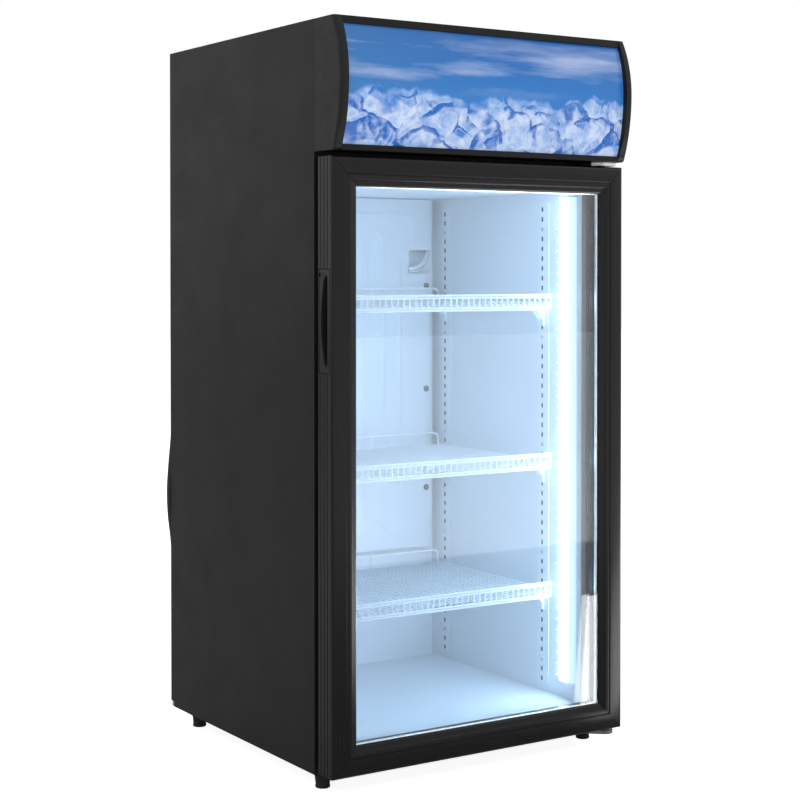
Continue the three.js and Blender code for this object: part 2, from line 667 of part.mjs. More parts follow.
function powerCord() {
  const relief = [
    [0, BACK_Y - 6], [7, BACK_Y - 6], [7, BACK_Y + GAP], [10, BACK_Y + GAP], [10, BACK_Y + 4],
    [7.5, BACK_Y + 6], [4.6, RELIEF_END - GAP], [0, RELIEF_END - GAP],
  ];
  const gland = turned(relief, 20, 'y', [GLAND.x, 0, GLAND.z]);
  add('strain_relief', gland, BLACK_RUBBER);

  const route = new THREE.CatmullRomCurve3(
    CORD_ROUTE.map((p) => new THREE.Vector3(...p)), false, 'centripetal',
  );
  const section = new THREE.Shape();
  section.absarc(0, 0, CORD_RADIUS, 0, 2 * Math.PI, false);
  const drop = new THREE.ExtrudeGeometry(section, {
    steps: 76, curveSegments: 4, extrudePath: route, bevelEnabled: false,
  });
  add('cord_drop', drop, BLACK_RUBBER);

  const top = FLOOR + 2.05 * CORD_DIAMETER;
  const outside = COIL.outer + CORD_RADIUS;
  const inside = COIL.inner - CORD_RADIUS;
  const hoop = [[inside, FLOOR], [outside, FLOOR], [outside, top], [inside, top], [inside, FLOOR]];
  add('cord_coil', turned(hoop, 32, 'z', [COIL.x, COIL.y, 0]), BLACK_RUBBER);

  const boot = turned([[0, 0], [5.2, 0], [8, 24], [0, 24]], 20, 'x', [PLUG.x, PLUG.y, PLUG.z]);
  const bodyStart = PLUG.x + 22;
  const face = bodyStart + 30;
  const body = box(bodyStart, face, PLUG.y - 13, PLUG.y + 13, FLOOR, FLOOR + 26);
  const blades = [-6.35, 6.35].map((side) => box(
    face - 2, face + 17, PLUG.y + side - 0.75, PLUG.y + side + 0.75, PLUG.z - 5, PLUG.z + 1.3,
  ));
  const ground = rod(2.4, 22, 12, 'x', [face + 9, PLUG.y, PLUG.z + 9]);
  add('plug', join(body, boot, ...blades, ground), BLACK_RUBBER);
}

shell();
insulation();
feet();
shelving();
evaporator();
ledBar();
header();
door();
hinges();
compressor();
condenser();
fan();
rearCover();
controls();
powerCord();

export default cabinet;
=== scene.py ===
"""Glass door merchandiser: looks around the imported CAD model.

Shapes are written in cabinet millimetres: x across from the middle, y back from the cabinet's
front plane, z up from the lower edge of its side panels. at() turns them into the row frame.
"""

import math
import random

import bmesh
import bpy
from mathutils import Matrix, Vector


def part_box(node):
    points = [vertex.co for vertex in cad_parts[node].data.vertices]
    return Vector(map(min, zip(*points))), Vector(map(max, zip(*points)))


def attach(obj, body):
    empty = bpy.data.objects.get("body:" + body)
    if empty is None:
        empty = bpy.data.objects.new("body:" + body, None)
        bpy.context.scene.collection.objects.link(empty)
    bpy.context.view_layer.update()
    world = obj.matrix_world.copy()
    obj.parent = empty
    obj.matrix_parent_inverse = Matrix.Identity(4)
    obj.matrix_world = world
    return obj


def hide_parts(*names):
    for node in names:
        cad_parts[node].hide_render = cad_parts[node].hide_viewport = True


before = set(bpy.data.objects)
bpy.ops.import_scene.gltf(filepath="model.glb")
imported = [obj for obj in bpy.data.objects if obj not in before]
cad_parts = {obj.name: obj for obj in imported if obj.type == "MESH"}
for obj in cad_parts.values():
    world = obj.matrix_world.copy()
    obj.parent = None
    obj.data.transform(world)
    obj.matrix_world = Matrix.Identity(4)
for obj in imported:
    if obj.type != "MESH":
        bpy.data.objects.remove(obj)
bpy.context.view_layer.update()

MM = 0.001
PANEL_LOW, PANEL_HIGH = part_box("side_panel_left")
FRONT_Y = PANEL_LOW.y
BASE_Z = PANEL_LOW.z
WIDTH = 430.0
HALF = WIDTH / 2
DEPTH = (PANEL_HIGH.y - PANEL_LOW.y) / MM


def at(x, y, z):
    """The row-frame point, in metres, of a place given in cabinet millimetres."""
    return Vector((x * MM, FRONT_Y + y * MM, BASE_Z + z * MM))


def cabinet_mm(point):
    """The cabinet millimetres of a row-frame point."""
    return Vector((point.x / MM, (point.y - FRONT_Y) / MM, (point.z - BASE_Z) / MM))


def node_box(name):
    low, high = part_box(name)
    return cabinet_mm(low), cabinet_mm(high)


# ---------------------------------------------------------------- camera

CAMERA_PLACE = (-1.21417, -1.88263, 0.60639)
CAMERA_YAW = 0.576168
CAMERA_PITCH = 0.01588
CAMERA_LENS = 77.09
CAMERA_SHIFT = -0.1259


def add_camera():
    data = bpy.data.cameras.new("camera")
    data.sensor_width = 36.0
    data.lens = CAMERA_LENS
    data.shift_y = CAMERA_SHIFT
    data.clip_start = 0.05
    camera = bpy.data.objects.new("camera", data)
    camera.location = CAMERA_PLACE
    camera.rotation_euler = (math.pi / 2 - CAMERA_PITCH, 0.0, -CAMERA_YAW)
    bpy.context.scene.collection.objects.link(camera)
    bpy.context.scene.camera = camera


add_camera()

# ---------------------------------------------------------------- materials


class Nodes:
    """Adds shader nodes to a tree."""

    def __init__(self, tree):
        self.tree = tree

    def node(self, kind, **settings):
        made = self.tree.nodes.new("ShaderNode" + kind)
        for key, value in settings.items():
            setattr(made, key, value)
        return made

    def link(self, output, target):
        self.tree.links.new(output, target)

    def place(self, stretch=(1, 1, 1), turn=(0, 0, 0)):
        """Object coordinates in metres, turned and then stretched."""
        coordinates = self.node("TexCoord")
        mapping = self.node("Mapping", vector_type="POINT")
        mapping.inputs["Rotation"].default_value = turn
        mapping.inputs["Scale"].default_value = stretch
        self.link(coordinates.outputs["Object"], mapping.inputs["Vector"])
        return mapping.outputs["Vector"]

    def noise(self, scale, detail=3.0, roughness=0.5, stretch=(1, 1, 1), turn=(0, 0, 0)):
        texture = self.node("TexNoise")
        texture.inputs["Scale"].default_value = scale
        texture.inputs["Detail"].default_value = detail
        texture.inputs["Roughness"].default_value = roughness
        self.link(self.place(stretch, turn), texture.inputs["Vector"])
        return texture.outputs["Fac"]

    def ramp(self, factor, *stops):
        """stops are (position, colour) or (position, grey)."""
        ramp = self.node("ValToRGB")
        elements = ramp.color_ramp.elements
        while len(elements) < len(stops):
            elements.new(0.5)
        for element, (position, value) in zip(elements, stops):
            element.position = position
            grey = isinstance(value, (int, float))
            element.color = (value, value, value, 1) if grey else (*value, 1)
        self.link(factor, ramp.inputs["Fac"])
        return ramp.outputs["Color"]

    def math(self, operation, first, second=0.0, third=0.5):
        made = self.node("Math", operation=operation)
        for socket, value in zip(made.inputs, (first, second, third)):
            if isinstance(value, (int, float)):
                socket.default_value = value
            else:
                self.link(value, socket)
        return made.outputs["Value"]

    def mix(self, factor, first, second):
        made = self.node("Mix", data_type="RGBA")
        sockets = (made.inputs["Factor"], made.inputs[6], made.inputs[7])
        for socket, value in zip(sockets, (factor, first, second)):
            if isinstance(value, (int, float)):
                socket.default_value = value
            elif isinstance(value, tuple):
                socket.default_value = (*value[:3], 1.0)
            else:
                self.link(value, socket)
        return made.outputs[2]


class Look(Nodes):
    """A Principled material."""

    def __init__(self, name, colour, roughness, metallic=0.0, **sockets):
        self.material = bpy.data.materials.new(name)
        self.material.use_nodes = True
        super().__init__(self.material.node_tree)
        self.shader = self.tree.nodes["Principled BSDF"]
        self.colour = (*colour, 1.0)
        self.set("Base Color", self.colour)
        self.set("Roughness", roughness)
        self.set("Metallic", metallic)
        for socket, value in sockets.items():
            self.set(socket.replace("_", " ").title(), value)

    def set(self, socket, value):
        names = {"Ior": "IOR", "Specular Level": "Specular IOR Level"}
        self.shader.inputs[names.get(socket, socket)].default_value = value

    def feed(self, socket, output):
        self.link(output, self.shader.inputs[socket])

    def vary_roughness(self, low, high, scale, stretch=(1, 1, 1)):
        grey = self.ramp(self.noise(scale, 4.0, 0.6, stretch), (0.3, low), (0.7, high))
        self.feed("Roughness", grey)
        return self

    def vary_colour(self, darker, lighter, scale, stretch=(1, 1, 1), detail=4.0):
        dark = tuple(c * darker for c in self.colour[:3])
        light = tuple(min(1.0, c * lighter) for c in self.colour[:3])
        tone = self.ramp(self.noise(scale, detail, 0.6, stretch), (0.3, dark), (0.7, light))
        self.feed("Base Color", tone)
        return self

    def bump(self, height, strength, distance):
        made = self.node("Bump")
        made.inputs["Strength"].default_value = strength
        made.inputs["Distance"].default_value = distance
        self.link(height, made.inputs["Height"])
        before = self.shader.inputs["Normal"].links
        if before:
            self.link(before[0].from_socket, made.inputs["Normal"])
        self.feed("Normal", made.outputs["Normal"])
        return self


def surface(name, colour, roughness, tone, sheen, *grains, metallic=0.0, **sockets):
    """A material that varies finely.

    tone is (darker, lighter, scale[, stretch]), sheen (smoothest, roughest, scale[, stretch]),
    and each of grains a noise's settings, then its strength and height in metres.
    """
    look = Look(name, colour, roughness, metallic, **sockets)
    look.vary_colour(*tone)
    look.vary_roughness(*sheen)
    for settings, strength, height in grains:
        look.bump(look.noise(*settings), strength, height)
    return look


def frame_plastic(length_axis):
    """Glossy black door extrusion with faint draw lines along its length."""
    stretch = [1.0, 1.0, 1.0]
    stretch[length_axis] = 0.012
    return surface(
        "black_extrusion_" + "xyz"[length_axis], (0.0066, 0.0064, 0.0076), 0.22,
        (0.85, 1.2, 500.0, stretch), (0.19, 0.30, 700.0, stretch),
        ((900.0, 2.0, 0.5, stretch), 0.06, 0.0003), ((1400.0, 2.0), 0.03, 0.0002),
        specular_level=0.20,
    )


def cells(look, scale, feature="F1", randomness=1.0):
    """Distance within cells of 1/scale metres."""
    texture = look.node("TexVoronoi", feature=feature)
    texture.inputs["Scale"].default_value = scale
    texture.inputs["Randomness"].default_value = randomness
    look.link(look.place(), texture.inputs["Vector"])
    return texture.outputs["Distance"]


def moulded_plastic(name, colour, roughness):
    """Moulded plastic with a fine leather-like grain."""
    look = surface(
        name, colour, roughness, (0.9, 1.12, 25.0), (roughness - 0.06, roughness + 0.06, 60.0),
        specular_level=0.16,
    )
    return look.bump(cells(look, 1500.0, "SMOOTH_F1"), 0.12, 0.0002)


def brushed_metal(name, colour, roughness, stretch=(0.02, 1.0, 1.0)):
    return surface(
        name, colour, roughness, (0.85, 1.08, 260.0, stretch),
        (roughness - 0.1, roughness + 0.12, 420.0, stretch),
        ((900.0, 2.0, 0.5, stretch), 0.12, 0.0002), metallic=1.0,
    )


def spacer_metal():
    """Bright aluminium spacer bar with its rows of breathing holes."""
    look = brushed_metal("spacer_bar", (0.90, 0.94, 0.97), 0.20, (0.1, 1.0, 0.1))
    pits = look.ramp(cells(look, 330.0, randomness=0.0), (0.12, 0.0), (0.2, 1.0))
    return look.bump(pits, 0.2, 0.0004)


def zinc():
    """Zinc plate: metallic with a soft crystalline bloom."""
    look = Look("zinc_plate", (0.62, 0.63, 0.65), 0.34, 1.0)
    look.feed("Roughness", look.ramp(cells(look, 420.0), (0.1, 0.26), (0.8, 0.5)))
    look.vary_colour(0.85, 1.1, 90.0)
    return look.bump(look.noise(1200.0), 0.1, 0.0002)


def foam():
    """Cream polyurethane foam with its cell structure."""
    look = Look("insulation_foam", (0.72, 0.62, 0.38), 0.9)
    look.vary_colour(0.85, 1.1, 15.0)
    return look.bump(cells(look, 600.0), 0.5, 0.0008)


def clear_glass():
    """Clear float glass with the faintest surface waviness."""
    look = Look("clear_glass", (0.965, 0.985, 0.99), 0.0, transmission_weight=1.0, ior=1.45)
    return look.bump(look.noise(6.0, 1.0), 0.01, 0.001)


CHIP_Y = 28.0                 # the light bar's chips stand this far behind the front plane
LENS_BRIGHT = 20.0
LENS_DIM = 0.8
LED_COLOUR = (0.47, 0.70, 0.98)


def glowing(name, strength):
    """Lit diffuser or chip: frosted plastic that gives light."""
    look = Look(name, (0.9, 0.94, 0.97), 0.35, specular_level=0.4)
    look.set("Emission Color", (*LED_COLOUR, 1.0))
    look.set("Emission Strength", strength)
    look.vary_roughness(0.28, 0.45, 200.0)
    return look.bump(look.noise(900.0), 0.05, 0.0002)


def bar_lens():
    """Light bar's diffuser: bright behind its row of chips, dim in front of it."""
    look = glowing("led_diffuser", LENS_BRIGHT)
    split = look.node("SeparateXYZ")
    look.link(look.place(), split.inputs["Vector"])
    spread = look.node("MapRange", interpolation_type="SMOOTHSTEP")
    spread.inputs["From Min"].default_value = at(0, CHIP_Y - 8, 0).y
    spread.inputs["From Max"].default_value = at(0, CHIP_Y - 4, 0).y
    spread.inputs["To Min"].default_value = LENS_DIM
    spread.inputs["To Max"].default_value = LENS_BRIGHT
    look.link(split.outputs["Y"], spread.inputs["Value"])
    look.feed("Emission Strength", spread.outputs["Result"])
    return look


def red_lead():
    look = Look("red_lead", (0.42, 0.022, 0.016), 0.45)
    look.vary_colour(0.8, 1.1, 200.0)
    return look.bump(look.noise(900.0), 0.08, 0.0002)


# Satin black powder coat with its fine orange peel and a few rubbed patches
STEEL = surface(
    "black_powder_coat", (0.0108, 0.0104, 0.0106), 0.42, (0.85, 1.2, 9.0), (0.36, 0.47, 14.0),
    ((850.0, 2.0), 0.10, 0.0004), ((90.0, 2.0), 0.05, 0.0006), specular_level=0.11,
)
FRAME_UPRIGHT = frame_plastic(2)
FRAME_LEVEL = frame_plastic(0)
MOULDING = moulded_plastic("black_moulding", (0.0125, 0.0125, 0.0130), 0.48)
GRIP = moulded_plastic("grip_moulding", (0.0105, 0.0105, 0.0115), 0.36)
# Thermoformed liner: even gloss, slight waviness, faint marks
LINER = surface(
    "white_liner", (0.80, 0.82, 0.84), 0.34, (0.975, 1.0, 6.0), (0.28, 0.40, 18.0),
    ((14.0, 2.0), 0.08, 0.002), ((700.0, 2.0), 0.05, 0.0003), specular_level=0.45,
)
# Plastic-dipped wire with slightly uneven build-up
WIRE = surface(
    "white_dipped_wire", (0.86, 0.875, 0.89), 0.30, (0.95, 1.0, 80.0), (0.24, 0.38, 120.0),
    ((420.0, 2.0), 0.12, 0.0003), specular_level=0.5,
)
STRIP = surface(
    "white_painted_strip", (0.84, 0.86, 0.885), 0.36, (0.96, 1.0, 40.0), (0.30, 0.42, 60.0),
    ((800.0, 2.0), 0.08, 0.0003), specular_level=0.45,
)
CLIP = moulded_plastic("white_moulding", (0.82, 0.845, 0.87), 0.42)
# Matt painted aluminium plate with faint rolling lines
PLATE = surface(
    "painted_roll_bond", (0.74, 0.765, 0.79), 0.42, (0.95, 1.03, 4.0),
    (0.36, 0.50, 300.0, (1.0, 1.0, 0.02)), ((500.0, 2.0, 0.5, (1.0, 1.0, 0.03)), 0.06, 0.0003),
    metallic=0.12,
)
SPACER = spacer_metal()
ZINC = zinc()
COPPER = surface(
    "copper_tube", (0.60, 0.27, 0.15), 0.30, (0.65, 1.1, 60.0), (0.22, 0.48, 90.0),
    ((500.0,), 0.08, 0.0003), metallic=1.0,
)
# Thick black enamel of the compressor shell
ENAMEL = surface(
    "compressor_enamel", (0.010, 0.010, 0.011), 0.30, (0.8, 1.4, 20.0), (0.24, 0.42, 45.0),
    ((160.0,), 0.12, 0.0005), coat_weight=0.3,
)
RUBBER = surface(
    "black_rubber", (0.012, 0.012, 0.012), 0.72, (0.8, 1.5, 45.0), (0.62, 0.85, 70.0),
    ((900.0,), 0.2, 0.0003), specular_level=0.35,
)
GASKET = surface(
    "gasket_vinyl", (0.030, 0.038, 0.050), 0.55, (0.85, 1.15, 30.0), (0.48, 0.62, 80.0),
    ((600.0,), 0.12, 0.0003), specular_level=0.4,
)
# Black PVC mains cord: slight sheen, fine matt skin
SHEATH = surface(
    "cord_pvc", (0.013, 0.013, 0.014), 0.46, (0.8, 1.4, 60.0), (0.38, 0.56, 130.0),
    ((1300.0, 2.0), 0.1, 0.0002), specular_level=0.4,
)
FOAM = foam()
GLASS = clear_glass()
FIN = brushed_metal("fin_aluminium", (0.78, 0.80, 0.82), 0.4)
BRACKET = brushed_metal("bracket_steel", (0.20, 0.20, 0.21), 0.30)
BRASS = brushed_metal("plug_brass", (0.74, 0.66, 0.48), 0.28)
LENS = bar_lens()
# Painted light: glow for the small ticks on the wall just behind the light bar
TICK_GLOW = glowing("painted_light_tick", 3.0)
CHIP = glowing("led_chip", 40.0)
LEAD = red_lead()
TERMINAL = moulded_plastic("grey_terminal_cover", (0.16, 0.16, 0.165), 0.5)
# Painted shade: dark blue-black for the sheet behind the strips' slots, standing in for the shadow in them
SLOT_SHADE = moulded_plastic("painted_slot_shade", (0.006, 0.020, 0.042), 0.62)

# ---------------------------------------------------------------- mesh tools


class Shape:
    """Closed solids in cabinet millimetres, gathered into one mesh."""

    def __init__(self, *solids):
        self.points = []
        self.faces = []
        for solid in solids:
            self.add(solid)

    def add(self, solid, turn=None):
        points, faces = solid
        start = len(self.points)
        if turn is not None:
            points = [turn @ Vector(p) for p in points]
        self.points += [tuple(p) for p in points]
        self.faces += [tuple(start + i for i in face) for face in faces]
        return self


def object_from(name, shape, placed=True):
    mesh = bpy.data.meshes.new(name)
    points = [at(*p) for p in shape.points] if placed else shape.points
    mesh.from_pydata(points, [], shape.faces)
    work = bmesh.new()
    work.from_mesh(mesh)
    bmesh.ops.recalc_face_normals(work, faces=work.faces)
    work.to_mesh(mesh)
    work.free()
    made = bpy.data.objects.new(name, mesh)
    bpy.context.scene.collection.objects.link(made)
    return made


def smooth(obj, degrees=35.0):
    obj.data.shade_smooth()
    obj.data.set_sharp_from_angle(angle=math.radians(degrees))


def settle(obj):
    """Applies obj's modifiers."""
    graph = bpy.context.evaluated_depsgraph_get()
    mesh = bpy.data.meshes.new_from_object(obj.evaluated_get(graph))
    obj.modifiers.clear()
    obj.data = mesh
    return obj


def carve(obj, shape, placed=True):
    """Cuts shape's solids out of obj."""
    tool = object_from("carving_tool", shape, placed)
    modifier = obj.modifiers.new("carve", "BOOLEAN")
    modifier.operation = "DIFFERENCE"
    modifier.solver = "EXACT"
    modifier.object = tool
    bpy.context.view_layer.update()
    settle(obj)
    bpy.data.objects.remove(tool)
    return obj


def soften(obj, width, segments=2, degrees=40.0):
    """Rounds obj's sharp edges by width millimetres."""
    modifier = obj.modifiers.new("soften", "BEVEL")
    modifier.width = width * MM
    modifier.segments = segments
    modifier.limit_method = "ANGLE"
    modifier.angle_limit = math.radians(degrees)
    modifier.use_clamp_overlap = True
    return settle(obj)


def piece(name, shape, look, replaced=(), edge=0.0, body="cabinet"):
    obj = shape if isinstance(shape, bpy.types.Object) else object_from(name, shape)
    obj.name = name
    if edge:
        soften(obj, edge)
    smooth(obj)
    obj.data.materials.clear()
    obj.data.materials.append(look.material)
    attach(obj, body)
    if replaced:
        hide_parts(*replaced)
    return obj


def tube(path, radius, sides=10, squash=1.0, flat=None):
    """A round bar along path; squash thins it along the direction flat."""
    path = [Vector(p) for p in path]
    last = len(path) - 1
    side = None
    rings = []
    for i, centre in enumerate(path):
        tangent = (path[min(i + 1, last)] - path[max(i - 1, 0)]).normalized()
        if flat is not None:
            side = tangent.cross(Vector(flat)).normalized()
        elif side is None:
            side = tangent.orthogonal().normalized()
        side = (side - tangent * side.dot(tangent)).normalized()
        other = tangent.cross(side) * squash
        turns = [2 * math.pi * k / sides for k in range(sides)]
        reaches = [side * math.cos(turn) + other * math.sin(turn) for turn in turns]
        rings.append([centre + radius * reach for reach in reaches])
    return loft(rings)


def rounded_path(corners, radius, steps=5):
    """corners joined by straight runs, with each inner corner rounded."""
    corners = [Vector(c) for c in corners]
    path = [corners[0]]
    for before, corner, after in zip(corners, corners[1:], corners[2:]):
        reach = min(radius, (corner - before).length * 0.49, (after - corner).length * 0.49)
        start = corner + (before - corner).normalized() * reach
        end = corner + (after - corner).normalized() * reach
        for i in range(steps + 1):
            t = i / steps
            path.append(start * (1 - t) ** 2 + corner * 2 * t * (1 - t) + end * t ** 2)
    path.append(corners[-1])
    return path


AXES = {
    "x": Matrix(((0, 0, 1), (1, 0, 0), (0, 1, 0))),
    "y": Matrix(((1, 0, 0), (0, 0, 1), (0, 1, 0))),
    "z": Matrix.Identity(3),
}


def lathe(profile, centre, axis="z", sides=32):
    """profile of (radius, height) points turned about axis through centre."""
    turns = [2 * math.pi * k / sides for k in range(sides)]
    rings = []
    for radius, height in profile:
        ring = [Vector((radius * math.cos(t), radius * math.sin(t), height)) for t in turns]
        rings.append([Vector(centre) + AXES[axis] @ local for local in ring])
    points, (start_cap, *walls, end_cap) = loft(rings)
    return points, [*walls, start_cap, end_cap]


def block(low, high):
    (x0, y0, z0), (x1, y1, z1) = low, high
    points = [(x, y, z) for z in (z0, z1) for y in (y0, y1) for x in (x0, x1)]
    faces = [(0, 2, 3, 1), (4, 5, 7, 6), (0, 1, 5, 4), (2, 6, 7, 3), (0, 4, 6, 2), (1, 3, 7, 5)]
    return points, faces


def loft(sections, closed=False):
    """A solid through outlines with equally many points; closed joins the last to the first."""
    count = len(sections[0])
    points = [p for section in sections for p in section]
    total = len(points)
    faces = [] if closed else [tuple(reversed(range(count)))]
    for i in range(len(sections) if closed else len(sections) - 1):
        for k in range(count):
            a, b = i * count + k, i * count + (k + 1) % count
            faces.append((a, b, (b + count) % total, (a + count) % total))
    if not closed:
        faces.append(tuple(range(total - count, total)))
    return points, faces


def rounded_outline(corners, radius, steps=3):
    """A closed outline of 2-D corners (x, y[, radius]) with each corner rounded."""
    outline = []
    count = len(corners)
    for i, corner in enumerate(corners):
        own = corner[2] if len(corner) > 2 else radius
        here = Vector(corner[:2])
        before = Vector(corners[i - 1][:2]) - here
        after = Vector(corners[(i + 1) % count][:2]) - here
        reach = min(own, before.length * 0.45, after.length * 0.45)
        start = here + before.normalized() * reach
        end = here + after.normalized() * reach
        for k in range(steps + 1):
            t = k / steps
            outline.append(start * (1 - t) ** 2 + here * 2 * t * (1 - t) + end * t ** 2)
    return outline


def grid_plate(across, upright, depth, is_hole, place):
    """A plate of rectangular cells, without the cells for which is_hole(i, k) is true.

    place(u, w, v) puts the point at u across, w through and v up.
    """
    w0, w1 = depth
    columns, rows = len(across), len(upright)
    points = [place(u, w, v) for w in (w0, w1) for v in upright for u in across]
    layer = columns * rows
    solid = {(i, k) for i in range(columns - 1) for k in range(rows - 1) if not is_hole(i, k)}
    faces = []
    for i, k in solid:
        a = k * columns + i
        quad = (a, a + 1, a + 1 + columns, a + columns)
        faces.append(quad)
        faces.append(tuple(layer + p for p in reversed(quad)))
        sides = {(i, k - 1): (0, 1), (i + 1, k): (1, 2), (i, k + 1): (2, 3), (i - 1, k): (3, 0)}
        for other, (p, q) in sides.items():
            if other not in solid:
                faces.append((quad[q], quad[p], layer + quad[p], layer + quad[q]))
    used = sorted({p for face in faces for p in face})
    index = {p: n for n, p in enumerate(used)}
    return [points[p] for p in used], [tuple(index[p] for p in face) for face in faces]


def screw_solid(radius=3.2, height=1.9):
    """A pan head along +z with a cross recess, as points and faces about the origin."""
    dome = [(radius * 0.999, 0.0), (radius, height * 0.35)]
    for i in range(1, 7):
        angle = math.pi / 2 * i / 7
        dome.append((radius * math.cos(angle), height * (0.35 + 0.65 * math.sin(angle))))
    dome.append((radius * 0.1, height))
    head = object_from("screw", Shape(lathe(dome, (0, 0, 0), "z", 24)), placed=False)
    arm, width = radius * 0.62, radius * 0.13
    for low, high in (((-arm, -width), (arm, width)), ((-width, -arm), (width, arm))):
        slot = block((*low, height * 0.4), (*high, height * 2))
        carve(head, Shape(slot), placed=False)
    points = [v.co.copy() for v in head.data.vertices]
    faces = [tuple(p.vertices) for p in head.data.polygons]
    bpy.data.objects.remove(head)
    return points, faces


SCREW = screw_solid()


def screws(name, places, look, scale=1.0):
    """Screw heads at places, each (x, y, z, direction that it faces)."""
    draw = random.Random(name)
    shape = Shape()
    for x, y, z, facing in places:
        turn = Vector((0, 0, 1)).rotation_difference(Vector(facing)).to_matrix().to_4x4()
        spin = Matrix.Rotation(draw.uniform(0, math.pi), 4, "Z")
        size = Matrix.Diagonal((scale, scale, scale, 1))
        shape.add(SCREW, Matrix.Translation((x, y, z)) @ turn @ spin @ size)
    return piece(name, shape, look)


# ---------------------------------------------------------------- power cord

CORD_DIAMETER = 0.007
CORD_ROUTE = [
    (-0.168, 0.246, 0.78), (-0.168, 0.252, 0.78), (-0.168, 0.2644, 0.778),
    (-0.168, 0.2755, 0.7724), (-0.1683, 0.2844, 0.7635), (-0.1689, 0.29, 0.7524),
    (-0.1698, 0.292, 0.74), (-0.1724, 0.2895, 0.715), (-0.177, 0.281, 0.67),
    (-0.183, 0.269, 0.61), (-0.19, 0.256, 0.54), (-0.1975, 0.2455, 0.468),
    (-0.2025, 0.238, 0.415), (-0.2068, 0.234, 0.38), (-0.211, 0.2318, 0.348),
    (-0.2137, 0.231, 0.312), (-0.2126, 0.231, 0.278), (-0.2085, 0.232, 0.248),
    (-0.2045, 0.234, 0.205), (-0.2025, 0.2365, 0.15), (-0.2023, 0.2385, 0.1),
    (-0.203, 0.24, 0.065), (-0.203, 0.24, 0.0438), (-0.2, 0.24, 0.0285),
    (-0.1913, 0.24, 0.0155), (-0.1783, 0.24, 0.007), (-0.163, 0.24, 0.0039),
    (-0.144, 0.24, 0.0038), (-0.1258, 0.24, 0.0038),
]
COIL_CENTRE = (-0.1, 0.2855)
COIL_RADIUS = 0.0455          # where the cord joins its outermost turn
COIL_LAY = CORD_DIAMETER      # each floor turn lies this much inside the one before
COIL_STEPS = 36               # points per turn
PLUG_ENTRY = (-0.067, 0.2435, 0.011)


def eased(t):
    t = min(1.0, max(0.0, t))
    return t * t * t * (t * (6 * t - 15) + 10)


def coil_points():
    """Two turns inward on the floor, then a third that climbs and crosses out over them."""
    floor_z = CORD_ROUTE[-1][2]
    inner = COIL_RADIUS - 2.18 * COIL_LAY
    leave = COIL_CENTRE[1] - PLUG_ENTRY[1]
    points = []
    for i in range(3 * COIL_STEPS + 1):
        turns = i / COIL_STEPS
        angle = 2 * math.pi * turns - math.pi / 2
        radius = COIL_RADIUS - COIL_LAY * min(turns, 2.18)
        over = turns - 2
        if over > 0.18:
            radius = inner + (leave - inner) * eased((over - 0.18) / 0.82)
        hump = CORD_DIAMETER * 1.02 * eased((over + 0.02) / 0.36)
        settled = (PLUG_ENTRY[2] - floor_z - CORD_DIAMETER * 1.02) * eased((over - 0.85) / 0.2)
        x = COIL_CENTRE[0] + radius * math.cos(angle)
        y = COIL_CENTRE[1] + radius * math.sin(angle)
        points.append((x, y, floor_z + hump + max(settled, -0.0009)))
    return points


def smooth_route(points, steps=6):
    """Centripetal Catmull-Rom through points."""
    points = [Vector(p) for p in points]
    ends = [points[0] * 2 - points[1], *points, points[-1] * 2 - points[-2]]
    route = []
    for p0, p1, p2, p3 in zip(ends, ends[1:], ends[2:], ends[3:]):
        t1 = (p1 - p0).length ** 0.5
        t2 = t1 + (p2 - p1).length ** 0.5
        t3 = t2 + (p3 - p2).length ** 0.5
        for i in range(steps):
            t = t1 + (t2 - t1) * i / steps
            a1 = p0 * ((t1 - t) / t1) + p1 * (t / t1)
            a2 = p1 * ((t2 - t) / (t2 - t1)) + p2 * ((t - t1) / (t2 - t1))
            a3 = p2 * ((t3 - t) / (t3 - t2)) + p3 * ((t - t2) / (t3 - t2))
            b1 = a1 * ((t2 - t) / t2) + a2 * (t / t2)
            b2 = a2 * ((t3 - t) / (t3 - t1)) + a3 * ((t - t1) / (t3 - t1))
            route.append(b1 * ((t2 - t) / (t2 - t1)) + b2 * ((t - t1) / (t2 - t1)))
    route.append(points[-1])
    return route


def make_cord():
    coil = coil_points()
    entry = Vector(PLUG_ENTRY)
    tail = [Vector(coil[-1]).lerp(entry, t) for t in (0.35, 0.7)]
    route = smooth_route([*CORD_ROUTE, *coil, *tail, entry])
    data = bpy.data.curves.new("mains_cord", "CURVE")
    data.dimensions = "3D"
    data.bevel_depth = CORD_DIAMETER / 2
    data.bevel_resolution = 4
    data.use_fill_caps = True
    spline = data.splines.new("POLY")
    spline.points.add(len(route) - 1)
    for point, place in zip(spline.points, route):
        point.co = (*place, 1.0)
    spline.use_smooth = True
    cord = bpy.data.objects.new("mains_cord", data)
    bpy.context.scene.collection.objects.link(cord)
    data.materials.append(SHEATH.material)
    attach(cord, "cabinet")
    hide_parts("cord_drop", "cord_coil")
    length = sum((b - a).length for a, b in zip(route, route[1:]))
    return cord, length


